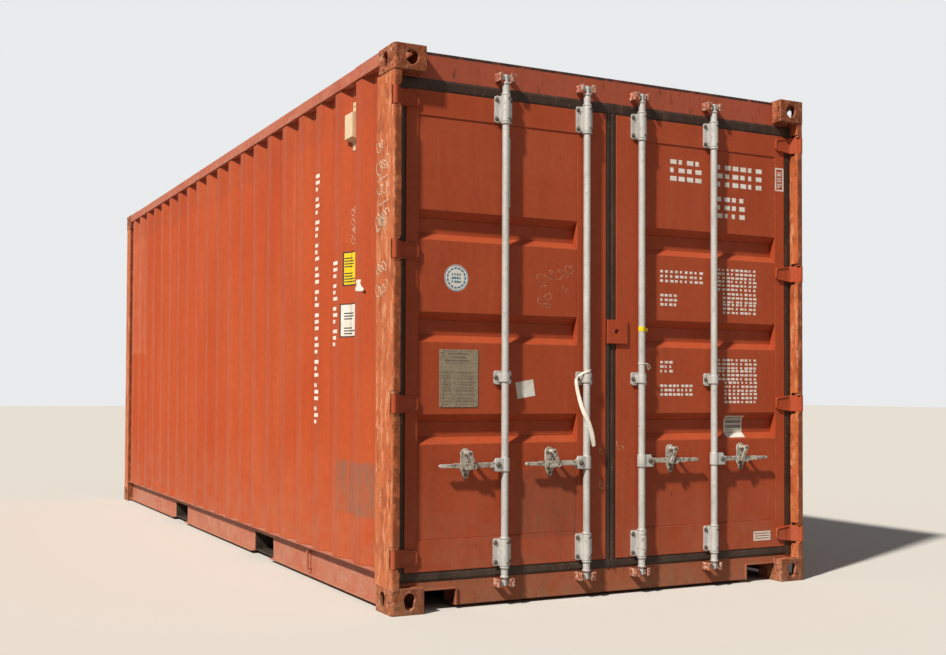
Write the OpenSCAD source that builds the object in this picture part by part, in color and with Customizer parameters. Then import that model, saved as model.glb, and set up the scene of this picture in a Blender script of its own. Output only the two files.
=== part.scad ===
// Twenty-foot dry cargo container with corrugated steel walls and double doors.
// X runs along the container with the doors at +X, Y across it, Z up.
// The origin is on the ground, under the middle of the container.

/* [Outside sizes] */
// Length over the corner fittings
length = 6058; // [5600:1:6500]
// Width over the corner fittings
width = 2438; // [2350:1:2550]
// Height over the corner fittings
height = 2591; // [2450:1:2750]

/* [Corner fittings] */
// Length of a fitting, along the container
fitting_l = 178; // [174:0.5:186]
// Width of a fitting, across the container
fitting_w = 162; // [156:0.5:168]
// Height of a fitting
fitting_h = 118; // [112:0.5:124]
// Steel round the twist-lock slot
fitting_plate = 28; // [22:0.5:32]
// Steel of the other walls of a fitting
fitting_wall = 14; // [10:0.5:18]
// Radius of the outer upright edge of a fitting
fitting_round = 15; // [6:0.5:20]
// Twist-lock slot, end to end
lock_slot_l = 124.5; // [120:0.5:128]
// Twist-lock slot, across
lock_slot_w = 63.5; // [60:0.5:66]
// Centre of the slot from the end face of the fitting
lock_slot_end = 102.5; // [98:0.5:104]
// Centre of the slot from the side face of the fitting
lock_slot_side = 89.5; // [84:0.5:94]
// Height of the lifting holes in the side faces and in the lower end faces
lift_hole_h = 79; // [70:0.5:84]
// Height of the lifting holes in the upper end faces
top_end_hole_h = 70; // [60:0.5:80]
// Width of the lifting holes in the side faces
side_hole_w = 51; // [44:0.5:60]
// Width of the lifting holes in the lower end faces
low_end_hole_w = 56; // [44:0.5:60]
// Width of the lifting holes in the upper end faces
top_end_hole_w = 66; // [50:0.5:66]
// Narrow end of the side holes and the lower end holes, as a share of their width
hole_foot_share = 0.8; // [0.5:0.05:0.95]
// Narrow end of the upper end holes, as a share of their width
top_foot_share = 0.55; // [0.5:0.05:0.9]

/* [Frame] */
// How far posts and rails stand in from the faces of the fittings
frame_recess = 3; // [2:0.5:6]
// Drop of the roof and top rails below the fittings
top_drop = 6; // [4:0.5:10]
// Rise of the base frame above the bottom of the fittings
base_rise = 17; // [12.5:0.5:22]
// Height of the bottom side rails
bottom_rail_h = 158; // [140:1:175]
// Upper flange of a bottom side rail
bottom_rail_top_flange = 48; // [40:1:60]
// Lower flange of a bottom side rail
bottom_rail_low_flange = 30; // [20:1:40]
// Steel of a bottom side rail
bottom_rail_t = 4.5; // [3:0.5:8]
// Width and height of the square top side rails
top_rail_size = 60; // [50:1:80]
// Steel of a top side rail
top_rail_t = 3; // [2:0.5:6]
// Steel of the pressed outer part of the posts
post_t = 6; // [4:0.5:8]
// Steel of the channel that forms the door jamb
jamb_t = 12; // [8:0.5:14]
// Width of the nose of a door post, which carries the hinges
post_nose_w = 40; // [36:0.5:44]
// How far the door jamb stands in from the side face
jamb_in = 49; // [47:0.5:56]
// Length of a door post along the container
door_post_l = 205; // [190:1:230]
// Length of a front post along the container
front_post_l = 162; // [150:1:176]
// Depth of a front post across the container
front_post_w = 82; // [70:1:100]
// Top of the door sill above the ground
sill_top = 165; // [150:1:175]
// Underside of the door header below the top of the fittings
header_drop = 146; // [130:1:160]
// Depth of the sill and header along the container
sill_depth = 114; // [90:1:140]
// Steel of the sill, header and front rails
beam_t = 5; // [4:0.5:8]
// Width of the cut-outs in the sill beside the fittings
sill_cut_w = 190; // [150:1:220]
// Height of the cut-outs in the sill
sill_cut_h = 76; // [50:1:80]
// Steel of the lips round the cut-outs in the sill
sill_lip_t = 6; // [4:0.5:8]
// How far the upright lips run in from the face of the sill
sill_lip_in = 14; // [8:1:40]
// How far the lips stand out from the face of the sill
sill_lip_out = 9; // [4:1:20]
// Depth of the front sill and the front top rail
front_beam_depth = 90; // [70:1:110]
// How far the front sill and the front top rail stand in from the end face
front_beam_in = 13; // [6:1:20]

/* [Walls and roof] */
// Steel of the side wall sheets
side_t = 2; // [1.6:0.1:3]
// Depth of a side corrugation
side_depth = 36; // [30:1:40]
// Length of one side corrugation
side_pitch = 280; // [250:1:320]
// Outer flat of a side corrugation
side_flat = 74; // [60:1:90]
// Inner flat of a side corrugation
side_valley = 70; // [60:1:90]
// How far the side wall sheet stands in from the side face
side_in = 9; // [5:0.5:12]
// Depth of a front corrugation
front_depth = 45.6; // [36:0.1:50]
// Width of one front corrugation
front_pitch = 250; // [220:1:280]
// Outer flat of a front corrugation
front_flat = 110; // [90:1:130]
// Inner flat of a front corrugation
front_valley = 104; // [85:1:120]
// Depth of a roof corrugation
roof_depth = 20; // [14:1:26]
// Length of one roof corrugation
roof_pitch = 209; // [190:1:230]

/* [Floor and base] */
// Thickness of the plywood floor
floor_t = 28; // [24:1:30]
// Gap between two floor sheets
floor_gap = 3; // [1:0.5:8]
// Number of floor sheets along the container
floor_rows = 5; // [4:1:6]
// Height of a cross member
cross_h = 122; // [110:1:126]
// Flange width of a cross member
cross_w = 45; // [35:1:60]
// Steel of a cross member
cross_t = 4; // [3:0.5:6]
// Largest spacing of the cross members
cross_pitch = 330; // [280:5:420]
// Width of a fork pocket
pocket_w = 360; // [340:1:370]
// Height of a fork pocket
pocket_h = 115; // [110:1:118]
// Distance between the centres of the fork pockets
pocket_spacing = 2050; // [1800:10:2080]
// Width of the strap under each mouth of a fork pocket
pocket_strap_w = 200; // [120:5:240]

/* [Doors] */
// Face of the doors, in from the end faces of the fittings
door_face_in = 58; // [56:0.5:60]
// Thickness of the door frames
door_t = 50; // [45:1:60]
// Gap between the door frames and the side faces of the fittings
door_side_gap = 87; // [84:0.5:92]
// Gap between the two door frames
door_mid_gap = 62; // [50:1:80]
// Bottom of the door frames above the door sill
door_foot_gap = 15; // [8:1:20]
// Top of the door frames below the header
door_head_gap = 41; // [20:1:60]
// Width of the outer upright of a door frame
door_outer_w = 65; // [50:1:100]
// Width of the inner upright of a door frame
door_inner_w = 170; // [140:1:200]
// Height of the top member of a door frame
door_top_h = 117; // [90:1:150]
// Height of the bottom member of a door frame
door_bottom_h = 145; // [100:1:170]
// Steel of the door sheets
door_sheet_t = 2; // [1.5:0.1:3]
// How far the door sheets stand in behind the face of the door frames
door_sheet_in = 3; // [1:0.5:6]
// Depth of the pressed bands in the door sheets
band_depth = 36; // [20:1:40]
// Height of a pressed band, slopes included
band_h = 138; // [110:1:170]
// Slope height at each edge of a pressed band
band_slope = 34; // [20:1:45]
// Distance between the pressed bands
band_pitch = 474; // [420:1:500]
// Middle of the lowest band above the door's bottom member
band_first = 508; // [470:1:560]
// How far the door seals lap over the sill, posts and header
seal_lap = 46; // [40:1:50]
// Thickness of the seal lip at its raised middle
seal_t = 4.5; // [3:0.5:4.5]
// Thickness of the seal lip at its edges
seal_edge_t = 1; // [0.5:0.5:2]
// Width of the slope on each side of the seal's raised middle
seal_slope = 12; // [6:1:14]

/* [Hinges] */
// Hinge pin centre, in from both faces of the corner
hinge_in = 13.5; // [13.5:0.1:15]
// Radius of the hinge eye
hinge_eye_r = 13; // [12:0.1:13]
// Radius of the hinge pin
hinge_pin_r = 8; // [6:0.1:9]
// Height of a hinge eye
hinge_h = 86; // [70:1:100]
// Height of the hinge blade at its tip
hinge_tip_h = 54; // [40:1:70]
// Reach of the hinge blade from the side face
hinge_reach = 150; // [130:1:152]
// Thickness of the hinge blade
hinge_t = 11; // [8:0.5:12]
// Steel of the lugs that hold the hinge pins
lug_t = 12; // [8:1:16]
// Middle of the lowest hinge above the ground
hinge_low_z = 250; // [235:1:300]
// Middle of the highest hinge below the top
hinge_top_drop = 236; // [225:1:300]

/* [Lock gear] */
// Radius of a lock bar
bar_r = 17; // [13:0.5:18]
// Centre of the lock bars, in from the end faces
bar_in = 27; // [26:0.5:28]
// Outer lock bars from the middle of the container
outer_bar_y = 625; // [560:1:680]
// Inner lock bars from the middle of the container
inner_bar_y = 165; // [150:1:190]
// Height of the lower cams above the ground
cam_low_z = 108; // [100:1:112]
// Upper cams below the top
cam_top_drop = 86; // [70:1:100]
// Height of a cam
cam_h = 26; // [20:1:32]
// Radius of the thin shaft that carries a cam
cam_shaft_r = 11; // [8:0.5:14]
// End of the pipe from the middle of a cam
bar_end_gap = 25; // [22:1:40]
// Reach of the cam finger from the bar's centre
cam_reach = 31; // [28:0.5:32]
// Thickness of the cam finger
cam_t = 12; // [8:0.5:14]
// Steel of the keeper ears
keeper_t = 8; // [6:0.5:10]
// Height of a keeper ear
keeper_h = 38; // [30:1:48]
// Gap between the cam finger and the keeper lip
keeper_gap = 6; // [3:0.5:8]
// Width of a bearing bracket
bracket_w = 94; // [80:1:120]
// Height of a bearing bracket
bracket_h = 130; // [100:1:140]
// Height of the middle guides above the ground
guide_z = 1076; // [1040:1:1100]
// Height of a middle guide
guide_h = 66; // [50:1:80]
// Steel of the bracket plates
bracket_t = 8; // [5:0.5:10]
// Radius of the corners of the bracket plates
bracket_round = 12; // [4:1:18]
// Radial gap between a lock bar and its bearings
bearing_gap = 0.1; // [0.05:0.05:0.5]
// Height of the handles above the ground
handle_z = 665; // [640:1:700]
// Length of a handle from its pivot
handle_l = 309; // [260:1:330]
// Height of the handle bar
handle_h = 24; // [18:1:28]
// Thickness of the handle bar
handle_t = 11; // [8:0.5:12]
// Pivot of a handle from the centre of its lock bar
handle_pivot = 42; // [38:1:48]
// Radius of the handle rivet
rivet_r = 7; // [5:0.5:8]
// Handle retainer from the centre of its lock bar
retainer_y = 197; // [170:1:220]
// Height of a handle retainer
retainer_h = 142; // [130:1:160]
// Width of a handle retainer
retainer_w = 50; // [44:1:70]
// Thickness of the catch that holds the handle
catch_t = 5; // [3:0.5:6]
// Pivot of the catch above the handle
catch_rise = 57; // [54:1:62]
// Running gap on pins and rivets
pin_gap = 0.05; // [0.02:0.01:0.1]

/* [Small parts] */
// Width and height of the lock plate on the right door
lock_plate_size = 120; // [90:1:130]
// How far the lock plate reaches past the middle of the container
lock_plate_over = 26; // [10:1:30]
// Height of the lock plate's middle above the ground
lock_plate_z = 1311; // [1250:1:1350]
// Width of the data plate on the left door
data_plate_w = 204; // [150:1:220]
// Height of the data plate
data_plate_h = 270; // [200:1:300]
// Height of the data plate's middle above the ground
data_plate_z = 1070; // [1060:1:1080]
// Data plate from the outer edge of the left door sheet
data_plate_in = 111; // [60:1:200]
// Height of a ventilator body
vent_h = 150; // [120:5:220]
// Width of a ventilator
vent_w = 100; // [80:1:110]
// Height of the fixing tabs of a ventilator
vent_tab = 46; // [30:1:60]
// Top of the ventilator tabs below the top rail
vent_drop = 79; // [60:1:140]
// Thickness of the rod of a tie-back hook
hook_rod = 12; // [8:1:16]
// Height of a tie-back hook
hook_h = 90; // [60:1:100]
// Tie-back hooks from the door posts
hook_from_post = 964; // [700:1:1200]

/* [Hidden] */
half_l = length / 2;
half_w = width / 2;
eps = 1;
red = "#B4502F";
door_red = "#9A4529";
rust = "#B0683C";
zinc = "#C9CBC6";
rubber = "#2C2624";
wood = "#8A6B4A";

base_z = base_rise;
rail_top_z = base_z + bottom_rail_h;
roof_z = height - top_drop;
top_rail_z = roof_z - top_rail_size;
header_z = height - header_drop;
floor_top_z = rail_top_z - 3;
cross_z = floor_top_z - floor_t - cross_h;
seal_face_in = door_face_in + 6;

wall_foot_z = rail_top_z;
wall_head_z = top_rail_z;
side_slope = (side_pitch - side_flat - side_valley) / 2;
wall_front_x = -half_l + front_post_l;
wall_back_x = half_l - door_post_l;
wall_len = wall_back_x - wall_front_x;
side_end = 200;
side_waves = floor((wall_len - side_end - side_flat - side_slope) / side_pitch);
side_first_x = wall_back_x - side_end - side_flat - side_waves * side_pitch;

door_low_z = sill_top + door_foot_gap;
door_high_z = header_z - door_head_gap;
door_out_y = half_w - door_side_gap;
door_in_y = door_mid_gap / 2;
door_face_x = half_l - door_face_in;
seal_face_x = half_l - seal_face_in;
band_z0 = door_low_z + door_bottom_h + band_first;
sheet_out_y = door_out_y - door_outer_w;
sheet_in_y = door_in_y + door_inner_w;

hinge_gap = 0.5;
notch_h = hinge_h + 2 * (hinge_gap + lug_t);
notch_side_l = 36;
notch_deep_l = 54;
hinge_top_z = height - hinge_top_drop;
hinge_step = (hinge_top_z - hinge_low_z) / 3;
hinge_zs = [for (i = [0:3]) hinge_low_z + i * hinge_step];
blade_back = door_face_in;
blade_front = blade_back - hinge_t;

bar_x = half_l - bar_in;
cam_top_z = height - cam_top_drop;
saddle_r = bar_r + bearing_gap + 5;
saddle_h = bracket_h - 4;
guide_saddle_h = guide_h - 24;
collar_r = bar_r + 5;
collar_h = 9;
collar_gap = 1;
hub_back = 13;
hub_front = 17;
handle_back = 0;
lip_reach = cam_reach - 9;
ear_in = cam_reach + 9;
lever_reach = 22;
bracket_zs = [hinge_low_z, hinge_top_z];
catch_z = handle_z + catch_rise;
catch_drop = [-26, -64];
catch_front_in = 3;
boss_r = 9;

// Four points of a flat strip of thickness t from a to b.
function strip(a, b, t) =
    let (d = (b - a) / norm(b - a), n = [-d[1], d[0]] * t / 2)
    [a + n, b + n, b - n, a - n];

// Points on an arc about c, from angle a0 to a1.
function arc(c, r, a0, a1, n = 5) =
    [for (i = [0:n]) c + r * [cos(a0 + (a1 - a0) * i / n), sin(a0 + (a1 - a0) * i / n)]];

// Reversed list of points.
function backwards(p) = [for (i = [len(p) - 1:-1:0]) p[i]];

// A folded sheet: the given edge line and the same line moved by t.
function sheet(line, t) = concat(line, backwards([for (p = line) p + t]));

// One trapezoid wave that starts on the outer flat at position s.
function wave(s, flat, slope, valley, depth) =
    [[s, 0], [s + flat, 0], [s + flat + slope, -depth], [s + flat + slope + valley, -depth]];

module flip_x(on) {
    if (on) mirror([1, 0, 0]) children();
    else children();
}

module flip_y(on) {
    if (on) mirror([0, 1, 0]) children();
    else children();
}

module flip_z(on) {
    if (on) translate([0, 0, height]) mirror([0, 0, 1]) children();
    else children();
}

// Rounded slot, end to end l, w across, along X.
module stadium(l, w) {
    square([l - w, w], center = true);
    for (s = [-1, 1]) translate([s * (l - w) / 2, 0]) circle(d = w, $fn = 64);
}

// Block with its outer corner at the origin and its upright edge rounded.
module edged_block(l, w, h, r) {
    linear_extrude(h) polygon(concat(
        [[-l, 0], [-l, -w], [0, -w]],
        arc([-r, -r], r, 0, 90)));
}

// Lifting hole of height h, with a round top of width w and a round foot that is a share of it.
module lifting_hole(h, w, share) {
    foot = w * share;
    top_y = (h - w) / 2;
    foot_y = -(h - foot) / 2;
    translate([0, top_y]) circle(d = w, $fn = 64);
    translate([0, foot_y]) circle(d = foot, $fn = 64);
    polygon([[-w / 2, top_y], [-foot / 2, foot_y], [foot / 2, foot_y], [w / 2, top_y]]);
}

// Corner fitting with its outer lower corner at the origin. At the top it is used upside down.
module corner_fitting(top) {
    end_hole_h = top ? top_end_hole_h : lift_hole_h;
    end_hole_w = top ? top_end_hole_w : low_end_hole_w;
    end_share = top ? top_foot_share : hole_foot_share;
    difference() {
        edged_block(fitting_l, fitting_w, fitting_h, fitting_round);
        translate([-fitting_l + fitting_wall, -fitting_w + fitting_wall, fitting_plate])
            cube([fitting_l - 2 * fitting_wall, fitting_w - 2 * fitting_wall,
                fitting_h - fitting_plate - fitting_wall]);
        translate([-lock_slot_end, -lock_slot_side, -eps])
            linear_extrude(fitting_plate + 2 * eps) stadium(lock_slot_l, lock_slot_w);
        translate([-lock_slot_end, eps, fitting_h / 2]) rotate([90, 0, 0])
            linear_extrude(fitting_wall + 2 * eps) rotate(top ? 180 : 0)
                lifting_hole(lift_hole_h, side_hole_w, hole_foot_share);
        translate([eps, -lock_slot_side, fitting_h / 2]) rotate([0, -90, 0])
            linear_extrude(fitting_wall + 2 * eps) rotate(top ? 90 : -90)
                lifting_hole(end_hole_h, end_hole_w, end_share);
    }
}

module corner_fittings(top) {
    color(rust) flip_z(top)
        for (back = [false, true], left = [false, true])
            flip_x(back) flip_y(left) translate([half_l, half_w, 0]) corner_fitting(top);
}

// Section of the bottom side rail, a channel that opens outwards.
module bottom_rail_section() {
    web_y = half_w - frame_recess - bottom_rail_top_flange;
    translate([web_y, 0]) square([bottom_rail_t, bottom_rail_h]);
    translate([web_y, bottom_rail_h - bottom_rail_t]) square([bottom_rail_top_flange, bottom_rail_t]);
    translate([web_y, 0]) square([bottom_rail_low_flange, bottom_rail_t]);
}

module bottom_side_rail() {
    rail_x0 = -half_l + front_post_l;
    rail_x1 = half_l - fitting_l;
    cut_w = 200;
    color(red) difference() {
        translate([rail_x1, 0, base_z]) rotate([90, 0, -90]) mirror([1, 0, 0])
            linear_extrude(rail_x1 - rail_x0) bottom_rail_section();
        translate([rail_x0 - eps, half_w - cut_w, base_z - eps])
            cube([fitting_l - front_post_l + eps, cut_w + eps, fitting_h - base_z + eps]);
        translate([half_l - door_post_l, half_w - cut_w, fitting_h])
            cube([door_post_l, cut_w + eps, bottom_rail_h]);
        for (s = [-1, 1])
            translate([s * pocket_spacing / 2 - pocket_w / 2, half_w - cut_w, base_z - eps])
                cube([pocket_w, cut_w + eps, pocket_h + bottom_rail_t + eps]);
    }
}

module top_side_rail() {
    rail_l = length - 2 * fitting_l;
    y0 = half_w - frame_recess - top_rail_size;
    color(red) difference() {
        translate([-rail_l / 2, y0, top_rail_z]) cube([rail_l, top_rail_size, top_rail_size]);
        translate([-rail_l / 2 - eps, y0 + top_rail_t, top_rail_z + top_rail_t])
            cube([rail_l + 2 * eps, top_rail_size - 2 * top_rail_t, top_rail_size - 2 * top_rail_t]);
    }
}

// Section of the right door post, from its outer corner: a pressed nose and a jamb channel.
module door_post_section() {
    r = 10;
    c = frame_recess + r;
    difference() {
        polygon(concat(
            arc([-c, -c], r, 0, 90),
            [[-door_post_l, -frame_recess], [-door_post_l, -jamb_in], [-seal_face_in, -jamb_in],
             [-seal_face_in, -post_nose_w], [-frame_recess, -post_nose_w]]));
        polygon(concat(
            arc([-c, -c], r - post_t, 0, 90, 2),
            [[-door_post_l + post_t, -frame_recess - post_t], [-door_post_l + post_t, -jamb_in + jamb_t],
             [-seal_face_in - post_t, -jamb_in + jamb_t],
             [-seal_face_in + post_t, -post_nose_w + post_t],
             [-frame_recess - post_t, -post_nose_w + post_t]]));
    }
}

module door_post() {
    color(rust) difference() {
        translate([half_l, half_w, fitting_h])
            linear_extrude(height - 2 * fitting_h) door_post_section();
        for (z = hinge_zs) translate([half_l, half_w, z - notch_h / 2]) {
            translate([-notch_side_l, -post_nose_w - eps, 0])
                cube([notch_side_l + eps, post_nose_w + 2 * eps, notch_h]);
            translate([-notch_deep_l, -post_nose_w - eps, 0])
                cube([notch_deep_l + eps, post_nose_w - frame_recess - post_t - eps, notch_h]);
        }
    }
}

// Section of the right front post, from its outer corner.
module front_post_section() {
    r = 12;
    c = frame_recess + r;
    bevel = 50;
    inner_shift = 3;
    difference() {
        polygon(concat(
            arc([c, -c], r, 180, 90),
            [[front_post_l, -frame_recess], [front_post_l, -side_in - side_depth - side_t],
             [front_post_l - bevel, -front_post_w], [frame_recess, -front_post_w]]));
        polygon(concat(
            arc([c, -c], r - post_t, 180, 90, 2),
            [[front_post_l - post_t, -frame_recess - post_t],
             [front_post_l - post_t, -side_in - side_depth - side_t + inner_shift],
             [front_post_l - bevel - inner_shift, -front_post_w + post_t],
             [frame_recess + post_t, -front_post_w + post_t]]));
    }
}

module front_post() {
    color(red) translate([-half_l, half_w, fitting_h])
        linear_extrude(height - 2 * fitting_h) front_post_section();
}

// Hollow beam across the container between x0 and x0 + depth.
module cross_beam(x0, z0, depth, h, span) {
    difference() {
        translate([x0, -span / 2, z0]) cube([depth, span, h]);
        translate([x0 + beam_t, -span / 2 - eps, z0 + beam_t])
            cube([depth - 2 * beam_t, span + 2 * eps, h - 2 * beam_t]);
    }
}

between_fittings = width - 2 * fitting_w;
between_jambs = width - 2 * jamb_in;

module door_sill() {
    x0 = seal_face_x - sill_depth;
    low_h = fitting_h - base_z;
    color(door_red) difference() {
        union() {
            translate([x0, -between_fittings / 2, base_z]) cube([sill_depth, between_fittings, low_h]);
            translate([x0, -between_jambs / 2, fitting_h]) cube([sill_depth, between_jambs, sill_top - fitting_h]);
        }
        translate([x0 + beam_t, -between_fittings / 2 - eps, base_z + beam_t])
            cube([sill_depth - 2 * beam_t, between_fittings + 2 * eps, sill_top - base_z - 2 * beam_t]);
        sill_cuts(x0, sill_depth);
    }
    color(door_red) for (left = [false, true]) flip_y(left) {
        lip_y = between_fittings / 2 - sill_cut_w - sill_lip_t;
        translate([seal_face_x - sill_lip_in, lip_y, base_z])
            cube([sill_lip_in + sill_lip_out, sill_lip_t, sill_cut_h]);
        translate([x0, lip_y, base_z + sill_cut_h])
            cube([sill_depth + sill_lip_out, sill_cut_w + sill_lip_t, sill_lip_t]);
    }
}

// Room beside the fittings in a sill that starts at x0.
module sill_cuts(x0, depth) {
    for (left = [false, true]) flip_y(left)
        translate([x0 - eps, between_fittings / 2 - sill_cut_w, base_z - eps])
            cube([depth + 2 * eps, sill_cut_w + eps, sill_cut_h + eps]);
}

module door_header() {
    x0 = seal_face_x - sill_depth;
    jamb_part_h = height - fitting_h - header_z;
    color(door_red) difference() {
        union() {
            translate([x0, -between_jambs / 2, header_z]) cube([sill_depth, between_jambs, jamb_part_h]);
            translate([x0, -between_fittings / 2, height - fitting_h])
                cube([sill_depth, between_fittings, fitting_h - top_drop]);
        }
        translate([x0 + beam_t, -between_fittings / 2 - eps, header_z + beam_t])
            cube([sill_depth - 2 * beam_t, between_fittings + 2 * eps, roof_z - header_z - 2 * beam_t]);
    }
}

module front_sill() {
    x0 = -half_l + front_beam_in;
    color(red) difference() {
        union() {
            cross_beam(x0, base_z, front_beam_depth, bottom_rail_h, between_fittings);
            for (s = [-1, 1], x = [x0, x0 + front_beam_depth - beam_t])
                translate([x, s * (half_w - (fitting_w + front_post_w) / 2) - (fitting_w - front_post_w) / 2, fitting_h])
                    cube([beam_t, fitting_w - front_post_w, rail_top_z - fitting_h]);
        }
        sill_cuts(x0, front_beam_depth);
    }
}

module front_top_rail() {
    color(red) cross_beam(-half_l + front_beam_in, top_rail_z, front_beam_depth, top_rail_size, between_fittings);
}

// Edge line of the side wall sheet, along X, with 0 on the outer flats.
side_line = concat(
    [[wall_front_x, -side_depth]],
    [for (i = [0:side_waves - 1], p = wave(side_first_x + i * side_pitch, side_flat, side_slope, side_valley, side_depth)) p],
    [[side_first_x + side_waves * side_pitch, 0], [side_first_x + side_waves * side_pitch + side_flat, 0],
     [side_first_x + side_waves * side_pitch + side_flat + side_slope, -side_depth],
     [wall_back_x, -side_depth]]);

// Room for the two top fittings at the front end, with the sheets welded to their faces.
module top_fitting_cuts() {
    for (left = [false, true]) flip_y(left)
        translate([-half_l - eps, half_w - fitting_w, height - fitting_h])
            cube([fitting_l + eps, fitting_w + eps, fitting_h + eps]);
}

module side_wall() {
    lead = [[side_line[0][0], -side_depth], [side_first_x - side_slope, -side_depth]];
    line = concat(lead, [for (i = [1:len(side_line) - 1]) side_line[i]]);
    color(red) difference() {
        union() {
            translate([0, half_w - side_in, wall_foot_z])
                linear_extrude(wall_head_z - wall_foot_z) polygon(sheet(line, [0, -side_t]));
            translate([wall_back_x - eps, half_w - side_in - side_depth - side_t, height - fitting_h])
                cube([door_post_l - fitting_l + eps, side_t, wall_head_z - height + fitting_h]);
        }
        top_fitting_cuts();
    }
}

module front_wall() {
    span = width - 2 * front_post_w;
    slope = (front_pitch - front_flat - front_valley) / 2;
    waves = floor((span - front_flat) / front_pitch);
    first = -(waves * front_pitch + front_flat) / 2;
    wall_back = 22;
    line = concat(
        [[-span / 2, 0]],
        [for (i = [0:waves - 1], p = wave(first + i * front_pitch, front_flat, slope, front_valley, front_depth)) p],
        [[first + waves * front_pitch, 0], [span / 2, 0]]);
    color(red) difference() {
        translate([-half_l + frame_recess + wall_back, 0, rail_top_z])
            linear_extrude(top_rail_z - rail_top_z)
            polygon([for (p = sheet(line, [0, -side_t])) [-p[1], p[0]]]);
        top_fitting_cuts();
    }
}

roof_front_x = -half_l + front_beam_in + front_beam_depth;
roof_back_x = seal_face_x - sill_depth;

module roof_panel() {
    span_y = width - 2 * frame_recess - 2 * top_rail_size;
    len_x = roof_back_x - roof_front_x;
    flat = 91;
    valley = 91;
    slope = (roof_pitch - flat - valley) / 2;
    waves = floor((len_x - flat) / roof_pitch);
    first = roof_front_x + (len_x - waves * roof_pitch - flat) / 2;
    line = concat(
        [[roof_front_x, 0]],
        [for (i = [0:waves - 1], p = wave(first + i * roof_pitch, flat, slope, valley, roof_depth)) p],
        [[first + waves * roof_pitch, 0], [roof_back_x, 0]]);
    color(red) difference() {
        translate([0, span_y / 2, roof_z]) rotate([90, 0, 0])
            linear_extrude(span_y) polygon(sheet(line, [0, -side_t]));
        top_fitting_cuts();
    }
}

module roof_corner_plates() {
    plate_l = 300;
    plate_w = 230;
    plate_t = 3;
    color(red) for (back = [false, true], left = [false, true])
        flip_x(back) flip_y(left)
            translate([half_l - fitting_l - plate_l, half_w - frame_recess - plate_w, roof_z])
                cube([plate_l, plate_w, plate_t]);
}

module floor_boards() {
    x0 = roof_front_x;
    x1 = seal_face_x - sill_depth;
    row_l = (x1 - x0 - (floor_rows + 1) * floor_gap) / floor_rows;
    web_y = half_w - frame_recess - bottom_rail_top_flange;
    board_w = web_y - 1.5 * floor_gap;
    color(wood) difference() {
        for (i = [0:floor_rows - 1], left = [false, true])
            flip_y(left) translate([x0 + floor_gap + i * (row_l + floor_gap), floor_gap / 2, floor_top_z - floor_t])
                cube([row_l, board_w, floor_t]);
        for (left = [false, true])
            flip_y(left) translate([-half_l, half_w - front_post_w - floor_gap, 0])
                cube([front_post_l + floor_gap, front_post_w + floor_gap, height / 2]);
    }
}

// Lengthways channel positions of the cross members in one bay.
function bay(x0, x1) =
    let (n = ceil((x1 - x0) / cross_pitch))
    [for (i = [1:n - 1]) x0 + (x1 - x0) * i / n];

pocket_side_w = 50;
cross_xs = concat(
    bay(roof_front_x, -pocket_spacing / 2 - pocket_w / 2 - pocket_side_w),
    bay(-pocket_spacing / 2 + pocket_w / 2 + pocket_side_w, pocket_spacing / 2 - pocket_w / 2 - pocket_side_w),
    bay(pocket_spacing / 2 + pocket_w / 2 + pocket_side_w, seal_face_x - sill_depth));
cross_half = half_w - frame_recess - bottom_rail_top_flange;

module channel(w, h, t) {
    square([t, h]);
    square([w, t]);
    translate([0, h - t]) square([w, t]);
}

module cross_members() {
    color(red) for (x = cross_xs)
        translate([x - cross_w / 2, cross_half, cross_z]) rotate([90, 0, 0])
            linear_extrude(2 * cross_half) channel(cross_w, cross_h, cross_t);
}

module fork_pockets() {
    roof_t = 4;
    strap_t = 6;
    color(red) for (s = [-1, 1]) translate([s * pocket_spacing / 2, 0, 0]) {
        for (m = [false, true]) flip_x(m)
            translate([pocket_w / 2, cross_half, cross_z]) rotate([90, 0, 0])
                linear_extrude(2 * cross_half) channel(pocket_side_w, cross_h, cross_t);
        translate([-pocket_w / 2, -cross_half, base_z + pocket_h + bottom_rail_t])
            cube([pocket_w, 2 * cross_half, roof_t]);
        for (m = [false, true]) flip_y(m)
            translate([-pocket_w / 2, cross_half - pocket_strap_w, cross_z])
                cube([pocket_w, pocket_strap_w, strap_t]);
    }
}

module cam_keeper() {
    face = seal_face_in - bar_in;
    lip_x = cam_t / 2 - 4 + keeper_gap;
    ear_top = lip_x + keeper_t;
    translate([0, 0, -keeper_h / 2]) linear_extrude(keeper_h) {
        translate([-face, -ear_in - keeper_t]) square([face + ear_top, keeper_t]);
        translate([lip_x, -ear_in - keeper_t]) square([keeper_t, ear_in + keeper_t - lip_reach]);
        translate([-face, lever_reach + 10]) square([face + ear_top, keeper_t]);
        translate([lip_x, lever_reach + 4]) square([keeper_t, keeper_t + 6]);
    }
}

module cam_keepers() {
    color(rust) for (left = [false, true], y = [inner_bar_y, outer_bar_y], z = [cam_low_z, cam_top_z])
        flip_y(left) translate([bar_x, y, z]) cam_keeper();
}

module hinge_lug() {
    lug_s = 31;
    difference() {
        linear_extrude(lug_t) difference() {
            polygon(concat(arc([-hinge_in, -hinge_in], hinge_in - frame_recess, 0, 90),
                [[-frame_recess - lug_s, -frame_recess], [-frame_recess - lug_s, -frame_recess - lug_s],
                 [-frame_recess, -frame_recess - lug_s]]));
        }
        translate([-hinge_in, -hinge_in, -eps]) cylinder(r = hinge_pin_r + pin_gap, h = lug_t + 2 * eps, $fn = 48);
    }
}

module hinge_lugs() {
    color(rust) for (left = [false, true], z = hinge_zs, top = [0, 1])
        flip_y(left) translate([half_l, half_w, z - notch_h / 2 + top * (notch_h - lug_t)]) hinge_lug();
}

module hinge_pins() {
    color(rust) for (left = [false, true], z = hinge_zs)
        flip_y(left) translate([half_l - hinge_in, half_w - hinge_in, z - notch_h / 2])
            cylinder(r = hinge_pin_r, h = notch_h, $fn = 48);
}

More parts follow.
